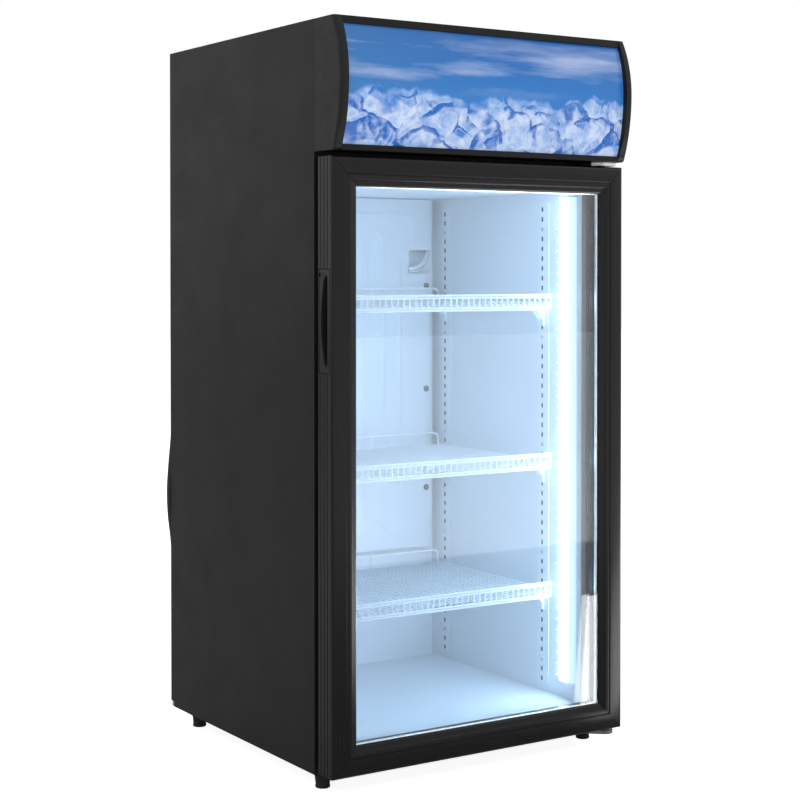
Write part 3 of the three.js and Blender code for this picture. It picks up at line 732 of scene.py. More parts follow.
def make_plug():
    """Moulded plug: ribbed boot, rounded body, two flat blades and a round ground pin."""
    x, y, z = cabinet_mm(Vector(PLUG_ENTRY))
    boot = []
    for i in range(25):
        radius = 5.2 + 2.8 * i / 24
        groove = 0.7 if i % 4 in (1, 2) and 2 < i < 22 else 0.0
        boot.append((radius - groove, i))
    low, high = node_box("plug")
    start, face = x + 22, x + 52
    sections = []
    for distance, narrow in ((0, 5.5), (1.5, 3.6), (5, 1.6), (10, 0.4), (16, 0.0), (28, 0.0), (30, 1.2)):
        corners = [
            (y - 13 + narrow, low.z + narrow * 0.8), (y + 13 - narrow, low.z + narrow * 0.8),
            (y + 13 - narrow, high.z - narrow), (y - 13 + narrow, high.z - narrow),
        ]
        outline = rounded_outline(corners, 7.0, 5)
        sections.append([(start + distance, v.x, v.y) for v in outline])
    body = Shape(lathe(boot, (x, y, z), "x", 32)).add(loft(sections))
    shell = piece("plug_body", body, SHEATH, ("plug",))
    pins = Shape()
    for side in (-6.35, 6.35):
        blade = rounded_outline(
            [(face - 2, z - 5), (face + 16, z - 5), (face + 17, z - 2), (face + 17, z - 1.7),
             (face + 16, z + 1.3), (face - 2, z + 1.3)], 0.8,
        )
        pins.add(loft([[(p.x, y + side + w, p.y) for p in blade] for w in (-0.75, 0.75)]))
    pin = [(2.4, -2), (2.4, 17), (1.9, 19.2), (1.0, 20)]
    pins.add(lathe(pin, (face, y, z + 9), "x", 24))
    contacts = piece("plug_pins", pins, BRASS)
    return [shell, contacts]


def make_strain_relief():
    """Tapered and slotted bush where the cord leaves the rear grille."""
    low, high = node_box("strain_relief")
    x, z = (low.x + high.x) / 2, (low.z + high.z) / 2
    length = high.y - low.y
    profile = [(7, 0), (7, 6.2), (9.4, 6.3), (10, 6.9), (10, 9.6), (9.4, 10.3), (7.6, 11)]
    rings = 12
    for i in range(rings + 1):
        t = i / rings
        height = 11.5 + (length - 12.2) * t
        radius = 7.5 - 2.8 * t - (0.8 if i % 2 else 0.0)
        profile += [(radius, height), (radius, height + 0.5)]
    bush = Shape(lathe(profile, (x, low.y, z), "y", 32))
    return piece("cord_bush", bush, RUBBER, ("strain_relief",))


def make_tie():
    """Hook-and-loop strap round the coil, at its far side."""
    turn = 0.5
    floor_z = CORD_ROUTE[-1][2]
    step = coil_points()[int((2 + turn) * COIL_STEPS)]
    top_radius = math.hypot(step[0] - COIL_CENTRE[0], step[1] - COIL_CENTRE[1])
    outer = COIL_RADIUS - COIL_LAY * turn
    centres = [(outer, floor_z), (outer - COIL_LAY, floor_z), (top_radius, step[2])]
    skin = CORD_DIAMETER / 2 + 0.0002
    angles = [2 * math.pi * k / 48 for k in range(48)]

    def hull(reach):
        outline = []
        for angle in angles:
            direction = (math.cos(angle), math.sin(angle))
            far = max(centres, key=lambda c: c[0] * direction[0] + c[1] * direction[1])
            outline.append((far[0] + reach * direction[0], far[1] + reach * direction[1]))
        return outline

    inner, outer_line = hull(skin), hull(skin + 0.0009)
    points = []
    for along in (-0.0075, 0.0075):
        for ring in (inner, outer_line):
            for radius, z in ring:
                height = max(z, 0.0001)
                points.append((COIL_CENTRE[0] + along, COIL_CENTRE[1] + radius, height))
    n = len(angles)
    faces = []
    for k in range(n):
        j = (k + 1) % n
        faces.append((k, j, n + j, n + k))
        faces.append((2 * n + k, 3 * n + k, 3 * n + j, 2 * n + j))
        faces.append((n + k, n + j, 3 * n + j, 3 * n + k))
        faces.append((k, 2 * n + k, 2 * n + j, j))
    shape = Shape()
    shape.points, shape.faces = points, faces
    strap = object_from("cord_tie", shape, placed=False)
    return piece("cord_tie", strap, RUBBER)


cord, CORD_LENGTH = make_cord()
plug_pieces = make_plug()
make_strain_relief()
tie = make_tie()
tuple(CORD_ROUTE[0])

# ---------------------------------------------------------------- CAD nodes that are shown


def carry(look, *names, edge=0.0, degrees=35.0):
    """Gives CAD nodes their material and, through modifiers, rounded edges."""
    for name in names:
        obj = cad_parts[name]
        obj.data.materials.clear()
        obj.data.materials.append(look.material)
        weld = obj.modifiers.new("weld", "WELD")
        weld.merge_threshold = 0.00001
        if edge:
            modifier = obj.modifiers.new("soften", "BEVEL")
            modifier.width = edge * MM
            modifier.segments = 2
            modifier.limit_method = "ANGLE"
            modifier.angle_limit = math.radians(degrees)


SIDES = ("left", "right")
PLACES = [f"{row}_{side}" for row in ("front", "rear") for side in SIDES]
LEVELS = ("bottom", "middle", "top")

carry(STEEL, "side_panel_left", "side_panel_right", edge=0.4)
carry(STEEL, "rear_panel", "base_panel", "top_cover", "machine_deck")
carry(STEEL, "rear_grille", edge=0.3)
carry(BRACKET, "hinge_bracket_bottom", edge=0.3)
carry(FOAM, "insulation_foam")
carry(LINER, "inner_liner", edge=1.5)
clips = [f"shelf_clip_{level}_{place}" for level in LEVELS for place in PLACES]
carry(CLIP, *clips, edge=0.5)
carry(MOULDING, "header_end_cap_left", "header_end_cap_right")
carry(STEEL, "header_housing")
carry(GLASS, "glass_outer", "glass_inner")
carry(ZINC, "hinge_bracket_top", edge=0.4)
carry(MOULDING, "fan_shroud", "fan_blades", edge=0.5)
carry(GRIP, "thermostat_knob", "light_switch", edge=0.4)


# ---------------------------------------------------------------- shelves

SLOT_TOP = 669.0
SLOT_PITCH = 12.95
SLOT_COUNT = 49
SHELF_SLOTS = (39, 26, 10)
SHELF_RISE = 8.0
WIRE_DIAMETER = 2.5
WIRE_PITCH = 8.8
WIRE_COUNT = 39
FENCE_RISE = 9.5              # fence's top wire above the shelf surface, and its lowest below
PILASTER_MIDDLE = 3.0         # slots stand this far behind the strip's middle
SLOT_WIDTH = 4.5
SLOT_HEIGHT = 6.0
SHADE_SHEET_DEPTH = 0.3                 # thickness of the dark sheet behind the slots: painted shade, standing in for the shadow in them
STRIP_SCREWS = (2, 13, 24, 35, 46)    # slots whose place a screw takes


def slot_height(index):
    return SLOT_TOP - SLOT_PITCH * index


def make_shelf(level, index):
    name = LEVELS[level]
    low, high = node_box("shelf_" + name)
    surface = slot_height(index) + SHELF_RISE
    radius = WIRE_DIAMETER / 2
    centre = surface - radius
    front, back = low.y + radius, high.y - radius
    half = high.x - radius
    shape = Shape()
    for i in range(WIRE_COUNT):
        x = (i - (WIRE_COUNT - 1) / 2) * WIRE_PITCH
        run = rounded_path(
            [(x, front + WIRE_DIAMETER, surface - FENCE_RISE + 1), (x, front + WIRE_DIAMETER, centre),
             (x, back - 1, centre), (x, back - 1, centre - 5)], 4.0, 4,
        )
        shape.add(tube(run, radius, 8))
        bar = [(x, front, surface - FENCE_RISE), (x, front, surface + FENCE_RISE - 1)]
        shape.add(tube(bar, radius * 0.85, 8))
    for height in (FENCE_RISE, FENCE_RISE - 3.2, 3.0 - FENCE_RISE, -FENCE_RISE):
        reach = half if height > 0 else half - 6
        y = front if abs(height) > 6.4 else front + 0.4
        rail = [(-reach, y, surface + height), (reach, y, surface + height)]
        shape.add(tube(rail, radius, 10))
    for fraction in (0.03, 0.27, 0.5, 0.73, 0.985):
        y = front + (back - front) * fraction
        bar = [(-half, y, centre - WIRE_DIAMETER), (half, y, centre - WIRE_DIAMETER)]
        shape.add(tube(bar, radius * 1.15, 10))
    for side in (-1, 1):
        edge = [(side * (half - 0.2), front + 2, centre), (side * (half - 0.2), back, centre)]
        shape.add(tube(edge, radius, 10))
    top = surface + 17 - radius
    stop = [(-half, back, centre), (-half, back, top), (half, back, top), (half, back, centre)]
    shape.add(tube(rounded_path(stop, 9.0, 6), radius * 1.1, 10))
    for x in (-half / 3, half / 3):
        shape.add(tube([(x, back, centre), (x, back, top)], radius, 8))
    piece("wire_" + name + "_shelf", shape, WIRE, ("shelf_" + name,))


def make_pilaster(place):
    """Flat slotted strip on the side wall, with its screws."""
    low, high = node_box("pilaster_" + place)
    side = 1 if low.x > 0 else -1
    face = low.x if side > 0 else -high.x
    wall = high.x - low.x
    middle = (low.y + high.y) / 2 + PILASTER_MIDDLE
    across = [low.y, middle - SLOT_WIDTH / 2, middle + SLOT_WIDTH / 2, high.y]
    upright = [low.z]
    for index in reversed(range(SLOT_COUNT)):
        z = slot_height(index)
        upright += [z - SLOT_HEIGHT / 2, z + SLOT_HEIGHT / 2]
    upright.append(high.z)
    screwed = [SLOT_COUNT - 1 - index for index in STRIP_SCREWS]

    def is_slot(i, k):
        return i == 1 and k % 2 == 1 and (k - 1) // 2 not in screwed

    strip = Shape(grid_plate(
        across, upright, (0, wall - SHADE_SHEET_DEPTH), is_slot, lambda u, w, v: (side * (face + w), u, v),
    ))
    name = "slotted_strip_" + place
    piece(name, strip, STRIP, ("pilaster_" + place,))
    # Painted shade: a dark sheet behind the strip, so that its open slots read as shaded hollows
    inner, outer = sorted((side * (face + wall - SHADE_SHEET_DEPTH), side * (face + wall)))
    behind = Shape(block(
        (inner, middle - SLOT_WIDTH, low.z + 1), (outer, middle + SLOT_WIDTH, high.z - 1),
    ))
    piece("strip_painted_shade_" + place, behind, SLOT_SHADE)
    heads = [(side * face, middle - 0.8, slot_height(i), (-side, 0, 0)) for i in STRIP_SCREWS]
    screws("strip_screws_" + place, heads, ZINC, 0.8)


for number, slot_index in enumerate(SHELF_SLOTS):
    make_shelf(number, slot_index)
for corner in PLACES:
    make_pilaster(corner)

# ---------------------------------------------------------------- evaporator

CHANNEL_X = 141.0
CHANNEL_TOP = 667.0
CHANNEL_RUNS = 10
EVAPORATOR_SCREWS_Z = (277.0, 419.0, 567.0)


def evaporator_channel():
    """Centre line of the refrigerant channel, as (x, z)."""
    pitch = 2 * CHANNEL_X / CHANNEL_RUNS
    bend = pitch / 2
    low_z, high_z = 218 + bend, 643 - bend
    line = [(CHANNEL_X, 626), (CHANNEL_X, CHANNEL_TOP), (-CHANNEL_X, CHANNEL_TOP), (-CHANNEL_X, low_z)]
    route = [Vector((x, 0, z)) for x, z in line]
    route = rounded_path(route, 20, 8)
    x = -CHANNEL_X
    for run in range(CHANNEL_RUNS - 1):
        down = run % 2 == 0
        turn_z = low_z if down else high_z
        for k in range(1, 12):
            angle = math.pi * k / 12
            drop = -math.sin(angle) if down else math.sin(angle)
            route.append(Vector((x + bend - bend * math.cos(angle), 0, turn_z + bend * drop)))
        x += pitch
        end_z = high_z if down else low_z
        if run == CHANNEL_RUNS - 2:
            end_z = 601
        route += [Vector((x, 0, turn_z)), Vector((x, 0, end_z))]
    return [(p.x, p.z) for p in route]


def make_evaporator():
    low, high = node_box("evaporator_plate")
    front = low.y
    notch = [(128, 584, 3), (128, 618, 3), (high.x, 618, 5), (high.x, high.z, 6)]
    corners = [(low.x, low.z, 6), (high.x, low.z, 6), (high.x, 584, 5), *notch, (low.x, high.z, 6)]
    outline = rounded_outline(corners, 5, 4)
    plate = Shape(loft([[(p.x, front + w, p.y) for p in outline] for w in (0, 2.0)]))
    channel = [(x, front + 0.3, z) for x, z in evaporator_channel()]
    plate.add(tube(channel, 4.6, 12, 0.22, (0, 1, 0)))
    for x in (-158, 158):
        for z in EVAPORATOR_SCREWS_Z:
            sleeve = [(4, 1.5), (4, high.y - front)]
            plate.add(lathe(sleeve, (x, front, z), "y", 20))
    piece("embossed_plate", plate, PLATE, ("evaporator_plate",))
    heads = [(x, front, z, (0, -1, 0)) for x in (-158, 158) for z in EVAPORATOR_SCREWS_Z]
    screws("plate_screws", heads, BRACKET, 1.35)
    tubes = Shape()
    suction = rounded_path(
        [(129, front + 1, 591), (141, front - 3, 593), (151, front - 3, 600),
         (159, front + 2, 610), (164, front + 6.5, 622), (166, front + 7, 640)], 12, 6,
    )
    tubes.add(tube(suction, 3.1, 14))
    capillary = rounded_path(
        [(129, front + 1, 587), (138, front - 3, 587), (150, front - 4, 591),
         (162, front + 2, 604), (168.5, front + 6, 620), (169, front + 7, 636)], 12, 6,
    )
    tubes.add(tube(capillary, 1.1, 10))
    piece("suction_tube", tubes, PLATE)


make_evaporator()

# ---------------------------------------------------------------- light bar

LED_PITCH = 14.6
LED_FIRST_Z = 59.0
LED_COUNT = 42


def make_light_bar():
    low, high = node_box("led_light_bar")
    wall, proud = high.x, low.x

    def section(grow, z):
        outline = rounded_outline(
            [(wall, low.y - grow), (proud + 2.5 - grow, low.y + 1), (proud - grow, 22),
             (proud + 1 - grow, high.y - 4), (wall, high.y + grow)], 6.0, 5,
        )
        return [(p.x, p.y, z) for p in outline]

    lens = Shape(loft([section(0, low.z + 5), section(0, high.z - 5)]))
    piece("light_diffuser", lens, LENS, ("led_light_bar",))
    caps = Shape()
    for z0, z1 in ((low.z, low.z + 5.4), (high.z - 5.4, high.z)):
        caps.add(loft([section(0.2, z0), section(0.2, z1)]))
    piece("light_bar_caps", caps, CLIP)
    chips, light_ticks = Shape(), Shape()
    flip = Matrix.Rotation(math.pi, 4, "Z")
    for i in range(LED_COUNT):
        z = LED_FIRST_Z + LED_PITCH * i
        dome = lathe([(2.6, -0.4), (2.5, 0.2), (1.6, 0.7), (0.4, 0.95)], (0, 0, 0), "x", 14)
        chips.add(dome, Matrix.Translation((proud + 0.5, CHIP_Y, z)) @ flip)
        # Painted light: a small glowing tick on the wall just behind the bar at each chip, standing in for
        # light spilled there
        tick_path = [(wall - 0.6, high.y - 1.5, z), (wall - 0.6, high.y + 6.5, z)]
        light_ticks.add(tube(tick_path, 0.7, 8))
    piece("light_chips", chips, CHIP)
    piece("painted_light_ticks", light_ticks, TICK_GLOW)
    leads = Shape()
    for y, reach in ((26.6, 0.0), (29.0, 0.8)):
        lead = [(wall - 3, y, high.z - 3), (wall - 2 - reach, y, high.z + 1.2), (wall - 2, y, 690.7)]
        leads.add(tube(rounded_path(lead, 3, 5), 0.8, 10))
    piece("light_lead", leads, LEAD)


make_light_bar()

# ---------------------------------------------------------------- header

NOSE_Z = 810.0
NOSE_Y = -55.0
UPPER_RADIUS = 163.6
LOWER_RADIUS = 249.0
SHEET_THICKNESS = 2.5
HEADER_CHIPS = 24


def nose_line(offset, z_low, z_high, steps=40):
    """Front line of the bowed sheet, moved offset millimetres back, as (y, z)."""
    line = []
    for i in range(steps + 1):
        z = z_low + (z_high - z_low) * i / steps
        radius = (UPPER_RADIUS if z > NOSE_Z else LOWER_RADIUS) - offset
        line.append((NOSE_Y + offset + radius - math.sqrt(radius ** 2 - (z - NOSE_Z) ** 2), z))
    return line


def printed_film(low, high):
    """Generic print, lit from behind: blue sky with thin cloud over a heap of ice cubes."""
    look = Look("printed_film", (0.1, 0.3, 0.6), 0.22, specular_level=0.3)
    coordinates = look.node("TexCoord")
    split = look.node("SeparateXYZ")
    look.link(coordinates.outputs["Object"], split.inputs["Vector"])
    size = high - low
    across = look.math("MULTIPLY_ADD", split.outputs["X"], 1 / size.x, -low.x / size.x)
    upward = look.math("MULTIPLY_ADD", split.outputs["Z"], 1 / size.z, -low.z / size.z)

    sky = look.ramp(upward, (0.45, (0.026, 0.155, 0.44)), (1.0, (0.012, 0.096, 0.32)))
    sky = look.mix(look.ramp(across, (0.0, 0.55), (0.5, 0.0)), sky, (0.050, 0.155, 0.36))
    streaks = look.noise(5.2, 4.0, 0.55, (1.0, 1.0, 7.5), (0, math.radians(7), 0))
    wisps = look.ramp(streaks, (0.47, 0.0), (0.70, 0.85))
    fine = look.ramp(look.noise(10.0, 6.0, 0.6, (1.0, 1.0, 6.0), (0, 0.13, 0)), (0.3, 0.55), (0.7, 1.0))
    clear = look.ramp(upward, (0.44, 0.0), (0.60, 1.0), (0.86, 1.0), (1.0, 0.35))
    wisps = look.math("MULTIPLY", look.math("MULTIPLY", wisps, fine), clear)
    sky = look.mix(wisps, sky, (0.38, 0.45, 0.64))

    def cubes(scale, turn, shift):
        """Rounded cells with bright rims, and blue arcs and patches at their tops."""
        warp = look.node("TexNoise")
        warp.inputs["Scale"].default_value = 45.0
        warp.inputs["Detail"].default_value = 2.0
        look.link(look.place(), warp.inputs["Vector"])
        bend = look.node("VectorMath", operation="MULTIPLY_ADD")
        bend.inputs[1].default_value = (0.016, 0.0, 0.016)
        look.link(warp.outputs["Color"], bend.inputs[0])
        turned = look.place((1.0, 0.0, 1.15), (0, turn, 0))
        turned.node.inputs["Location"].default_value = (shift, 0, shift)
        look.link(turned, bend.inputs[2])
        vector = bend.outputs["Vector"]
        near = look.node("TexVoronoi", feature="F1", distance="MINKOWSKI")
        second = look.node("TexVoronoi", feature="F2", distance="MINKOWSKI")
        for texture in (near, second):
            texture.inputs["Scale"].default_value = scale
            texture.inputs["Exponent"].default_value = 3.5
            texture.inputs["Randomness"].default_value = 0.8
            look.link(vector, texture.inputs["Vector"])
        gap = look.math("SUBTRACT", second.outputs["Distance"], near.outputs["Distance"])
        offset = look.node("VectorMath", operation="SUBTRACT")
        look.link(vector, offset.inputs[0])
        look.link(near.outputs["Position"], offset.inputs[1])
        parts = look.node("SeparateXYZ")
        look.link(offset.outputs["Vector"], parts.inputs["Vector"])
        rise = look.math("MULTIPLY_ADD", parts.outputs["Z"], scale, 0.5)
        chance = look.node("SeparateColor")
        look.link(near.outputs["Color"], chance.inputs["Color"])
        crown = look.ramp(rise, (0.49, 0.0), (0.60, 1.0))
        arc = look.math("MULTIPLY", look.ramp(gap, (0.08, 1.0), (0.24, 0.0)), crown)
        chosen = look.ramp(chance.outputs["Red"], (0.40, 0.0), (0.46, 1.0))
        patch = look.math("MULTIPLY", look.ramp(rise, (0.50, 0.0), (0.56, 0.9)), chosen)
        rim = look.ramp(gap, (0.13, 0.0), (0.19, 0.4), (0.27, 0.0))
        marble = look.noise(60.0, 5.0, 0.65)
        tone = look.mix(look.ramp(marble, (0.36, 0.0), (0.62, 1.0)), (0.16, 0.30, 0.58), (0.46, 0.54, 0.72))
        tone = look.mix(patch, tone, (0.005, 0.13, 0.48))
        tone = look.mix(look.math("MULTIPLY", arc, 0.9), tone, (0.003, 0.085, 0.37))
        return look.mix(rim, tone, (0.62, 0.67, 0.80))

    front_row = cubes(17.0, 0.30, 0.0)
    back_row = cubes(31.0, -0.55, 0.37)
    ice = look.mix(look.ramp(look.noise(26.0, 3.0), (0.44, 0.0), (0.56, 1.0)), front_row, back_row)
    frost = look.ramp(look.noise(140.0, 4.0, 0.7), (0.52, 0.0), (0.66, 0.25))
    ice = look.mix(frost, ice, (0.56, 0.61, 0.76))
    heap = look.noise(17.0, 3.0, 0.55, (1.0, 1.0, 0.2))
    height = look.math("MULTIPLY_ADD", heap, 0.50, 0.20)
    level = look.math("SUBTRACT", height, upward)
    mask = look.ramp(look.math("ADD", level, 0.5), (0.485, 0.0), (0.51, 1.0))
    far_ice = look.ramp(level, (0.0, 0.55), (0.12, 0.0))
    ice = look.mix(far_ice, ice, (0.045, 0.20, 0.52))
    picture = look.mix(mask, sky, ice)
    look.feed("Base Color", picture)
    look.feed("Emission Color", picture)
    look.set("Emission Strength", 0.58)
    look.vary_roughness(0.16, 0.3, 12.0)
    return look.bump(look.noise(400.0, 2.0), 0.02, 0.0003)


def make_header():
    low, high = node_box("header_graphic_panel")
    front = nose_line(0.0, low.z, high.z)
    back = nose_line(SHEET_THICKNESS, low.z, high.z)
    section = [*front, *reversed(back)]
    sheet = Shape(loft([[(x, y, z) for y, z in section] for x in (low.x, high.x)]))
    film = printed_film(*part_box("header_graphic_panel"))
    piece("curved_sheet", sheet, film, ("header_graphic_panel",))

    low, high = node_box("header_led_strip")
    board = Shape(block(low, high))
    piece("header_led_board", board, CLIP, ("header_led_strip",), 0.3)
    chips = Shape()
    for i in range(HEADER_CHIPS):
        x = low.x + 8 + (high.x - low.x - 16) * i / (HEADER_CHIPS - 1)
        dome = [(3.0, 0.0), (2.7, -1.0), (1.6, -1.9), (0.4, -2.2)]
        chips.add(lathe(dome, (x, low.y + 0.2, (low.z + high.z) / 2), "y", 14))
    piece("header_led_chips", chips, CHIP)


make_header()

# ---------------------------------------------------------------- door

DOOR_LOW, DOOR_HIGH = node_box("door_stile_left")
DOOR_BOTTOM, DOOR_TOP = DOOR_LOW.z, DOOR_HIGH.z
DOOR_FRONT, DOOR_REAR = DOOR_LOW.y, DOOR_HIGH.y
FRAME_WIDTH = 35.0
MITRE_SLACK = 0.2
HINGE_X, HINGE_Y = 200.0, -25.0
RIDGES_Y = (-15.4, -22.9, -30.1)
POCKET_HALF = 52.0
POCKET_FRONT = -29.2


def frame_section():
    """Section of the door frame: (distance in from the outer edge, y)."""
    corners = [(0, DOOR_REAR, 0.8)]
    for y in RIDGES_Y:
        corners += [(0, y + 0.9, 0.2), (0.9, y + 0.4, 0.2), (0.9, y - 0.4, 0.2), (0, y - 0.9, 0.2)]
    corners += [
        (0, DOOR_FRONT, 4.0), (19.2, DOOR_FRONT, 0.8), (19.6, DOOR_FRONT + 1.1, 0.3),
        (20.6, DOOR_FRONT + 1.1, 0.3), (21.2, DOOR_FRONT + 0.4, 0.5), (26.6, DOOR_FRONT + 1.2, 0.6),
        (27.4, DOOR_FRONT + 2.6, 0.4), (32.6, DOOR_FRONT + 3.8, 0.8),
        (FRAME_WIDTH, DOOR_FRONT + 5.7, 0.4), (22.7, DOOR_FRONT + 5.7, 0.1),
        (22.7, -23.7, 0.1), (FRAME_WIDTH, -23.7, 0.4), (FRAME_WIDTH, -18.3, 1.2),
        (29.5, -18.3, 0.4), (29.5, DOOR_REAR, 0.8),
    ]
    return rounded_outline(corners, 0.5, 4)


def frame_member(length, place):
    """A mitred length of the frame; place(u, y, along) puts its points."""
    rings = []
    for end in (0, 1):
        ring = []
        for corner in frame_section():
            inset = corner.x + MITRE_SLACK
            ring.append(place(corner.x, corner.y, inset if end == 0 else length - inset))
        rings.append(ring)
    return Shape(loft(rings))


def make_frame():
    height = DOOR_TOP - DOOR_BOTTOM
    left = frame_member(height, lambda u, y, s: (-HALF + u, y, DOOR_BOTTOM + s))
    right = frame_member(height, lambda u, y, s: (HALF - u, y, DOOR_BOTTOM + s))
    bottom = frame_member(WIDTH, lambda u, y, s: (-HALF + s, y, DOOR_BOTTOM + u))
    top = frame_member(WIDTH, lambda u, y, s: (-HALF + s, y, DOOR_TOP - u))
    low, high = node_box("door_handle")
    mortise = block(
        (-HALF - 2, low.y - 0.3, low.z - 0.3), (high.x + 0.3, high.y + 0.3, high.z + 0.3),
    )
    stile = carve(object_from("stile", left), Shape(mortise))
    piece("frame_stile_left", stile, FRAME_UPRIGHT, ("door_stile_left",), body="door")
    piece("frame_stile_right", right, FRAME_UPRIGHT, ("door_stile_right",), body="door")
    hole = [(4.3, -10.3), (4.3, 10.3)]
    for name, shape, z in (("bottom", bottom, DOOR_BOTTOM), ("top", top, DOOR_TOP)):
        tool = Shape(lathe(hole, (HINGE_X, HINGE_Y, z), "z", 24))
        rail = carve(object_from("rail_" + name, shape), tool)
        piece("frame_rail_" + name, rail, FRAME_LEVEL, ("door_rail_" + name,), body="door")


def picture_frame(section, half, bottom, top):
    """A closed mitred frame; section is (distance in from its outer edge, y)."""
    rings = []
    for side, upper in ((-1, False), (1, False), (1, True), (-1, True)):
        rings.append([(side * (half - u), y, top - u if upper else bottom + u) for u, y in section])
    return loft(rings, closed=True)


def make_seals():
    low, high = node_box("door_gasket")
    y0, y1 = low.y, high.y
    bellows = rounded_outline(
        [(1.5, y0), (8.5, y0), (8.5, y0 + 1.6), (6.6, y0 + 2.2), (9.4, y0 + 3.4),
         (9.9, y1 - 1.8, 1.2), (8.2, y1, 1.2), (1.8, y1, 1.2), (0.1, y1 - 1.8, 1.2),
         (0.6, y0 + 3.4), (3.4, y0 + 2.2), (1.5, y0 + 1.6)], 0.5, 3,
    )
    section = [(p.x, p.y) for p in bellows]
    gasket = Shape(picture_frame(section, high.x, low.z, high.z))
    piece("bellows_gasket", gasket, GASKET, ("door_gasket",), body="door")

    low, high = node_box("glass_spacer")
    width = high.x - (HALF - FRAME_WIDTH) + 1.0
    bar = rounded_outline(
        [(0, low.y), (width - 1.2, low.y), (width, low.y + 1.0), (width, high.y - 1.0),
         (width - 1.2, high.y), (0, high.y)], 0.4, 3,
    )
    spacer = Shape(picture_frame([(p.x, p.y) for p in bar], high.x, low.z, high.z))
    piece("spacer_bar", spacer, SPACER, ("glass_spacer",), body="door")


def pocket_line(grow=0.0):
    """Outline of the finger pocket: flat in front, bowed behind, as (y, z)."""
    low, high = node_box("door_handle")
    middle = (low.z + high.z) / 2
    steps = 16
    line = [(POCKET_FRONT - grow, middle + (POCKET_HALF - 3) * end) for end in (-1, 1)]
    line.append((POCKET_FRONT + 1, middle + POCKET_HALF - 0.4 + grow))
    line.append((POCKET_FRONT + 3.5, middle + POCKET_HALF + grow))
    for i in range(steps + 1):
        t = -1 + 2 * i / steps
        z = middle - (POCKET_HALF - 4) * t
        line.append((POCKET_FRONT + 7 + grow + 7.0 * (1 - t * t), z))
    line.append((POCKET_FRONT + 3.5, middle - POCKET_HALF - grow))
    line.append((POCKET_FRONT + 1, middle - POCKET_HALF + 0.4 - grow))
    return line


def make_handle():
    """Grip insert with its raised front lip and finger pocket."""
    low, high = node_box("door_handle")
    corners = rounded_outline(
        [(low.y, low.z), (high.y, low.z), (high.y, high.z), (low.y, high.z)], 3.0, 5,
    )
    depth = high.x - low.x
    sections = []
    for x, inset in ((0.0, 0.9), (0.35, 0.35), (1.0, 0.0), (depth, 0.0)):
        ring = []
        for p in corners:
            y = min(max(p.x, low.y + inset), high.y - inset)
            z = min(max(p.y, low.z + inset), high.z - inset)
            ring.append((low.x + x, y, z))
        sections.append(ring)
    body = object_from("grip", Shape(loft(sections)))
    pocket = []
    for x, grow in ((-2.0, 2.4), (0.0, 0.6), (1.4, 0.0), (depth - 3.2, -0.6), (depth - 2.0, -2.2)):
        pocket.append([(low.x + x, y, z) for y, z in pocket_line(grow)])
    carve(body, Shape(loft(pocket)))
    notch = block((low.x - 1, high.y - 3.4, high.z - 9.0), (low.x + 2.2, high.y + 1, high.z - 4.5))
    carve(body, Shape(notch))
    piece("grip_insert", body, GRIP, ("door_handle",), body="door")


make_frame()
make_seals()
make_handle()

# ---------------------------------------------------------------- feet and fastenings


def make_feet():
    """Levelling feet: threaded stem, hexagon and ribbed rubber pad."""
    for place in PLACES:
        low, high = node_box("levelling_foot_" + place)
        x, y = (low.x + high.x) / 2, (low.y + high.y) / 2
        radius = (high.x - low.x) / 2
        body = "levelling_foot_" + place
        ground = low.z
        rise = 20.0
        pad = [
            (radius * 0.80, 0), (radius * 0.86, 0.5), (radius * 0.90, 2.0), (radius * 0.84, 4.0),
            (radius * 0.94, 12.5), (radius * 0.99, 14.2), (radius, 15.0), (radius * 0.97, 15.9),
            (radius * 0.6, rise - 3.4), (0.5, rise - 3.2),
        ]
        shape = Shape(lathe(pad, (x, y, ground), "z", 48))
        piece("foot_pad_" + place, shape, RUBBER, (body,), body=body)
        stem = [(3.2, rise - 3.4)]
        turns = int((high.z - ground - rise) / 1.25)
        for i in range(turns * 2 + 6):
            z = rise - 3.0 + i * 0.62
            if z < high.z - ground - 0.5:
                stem.append((4.0 if i % 2 else 3.4, z))
        stem.append((2.8, high.z - ground))
        studs = Shape(lathe(stem, (x, y, ground), "z", 24))
        studs.add(lathe([(6.2, rise - 3.3), (6.4, rise - 3.0), (6.4, rise - 0.9), (6.1, rise - 0.6)],
                        (x, y, ground), "z", 6))
        piece("foot_stem_" + place, studs, ZINC, body=body)


def make_fastenings():
    sides = (-1, 1)
    flange_x = 209.0
    sunk = 2.0                # top screws' heads lie in countersinks
    grille = node_box("rear_grille")[1].y
    lower = node_box("hinge_bracket_bottom")[0].z
    upper = node_box("hinge_bracket_top")[0].z
    deck = node_box("top_cover")[1].z - sunk
    grille_places = [(x, z) for x in (-195, 195) for z in (735, 872)]
    grille_places += [(x, 872) for x in (-120, 0, 120)]
    back, down, up = (0, 1, 0), (0, 0, -1), (0, 0, 1)
    flange = [(s * flange_x, DEPTH, z, back) for s in sides for z in (40, 260, 480, 700, 850)]
    screws("rear_flange_screws", flange, ZINC, 1.1)
    screws("rear_grille_screws", [(x, grille, z, back) for x, z in grille_places], ZINC)
    heads = [(x, y, lower, down) for y in (8, 24) for x in (166, 178)]
    screws("lower_bracket_screws", heads, ZINC, 0.9)
    screws("upper_bracket_screws", [(x, -9, upper, down) for x in (184, 206)], ZINC, 0.8)
    screws("top_cover_screws", [(s * 190, y, deck, up) for s in sides for y in (30, 350)], ZINC)


def make_rear_seal():
    """Black sealing bead in the seam between rear panel and grille."""
    low, high = node_box("rear_panel")
    grille = node_box("rear_grille")[0]
    bead = Shape(block((low.x, low.y, high.z), (high.x, high.y - 0.15, grille.z)))
    piece("rear_seam_bead", bead, RUBBER)


make_feet()
make_fastenings()
make_rear_seal()

# ---------------------------------------------------------------- machine compartment

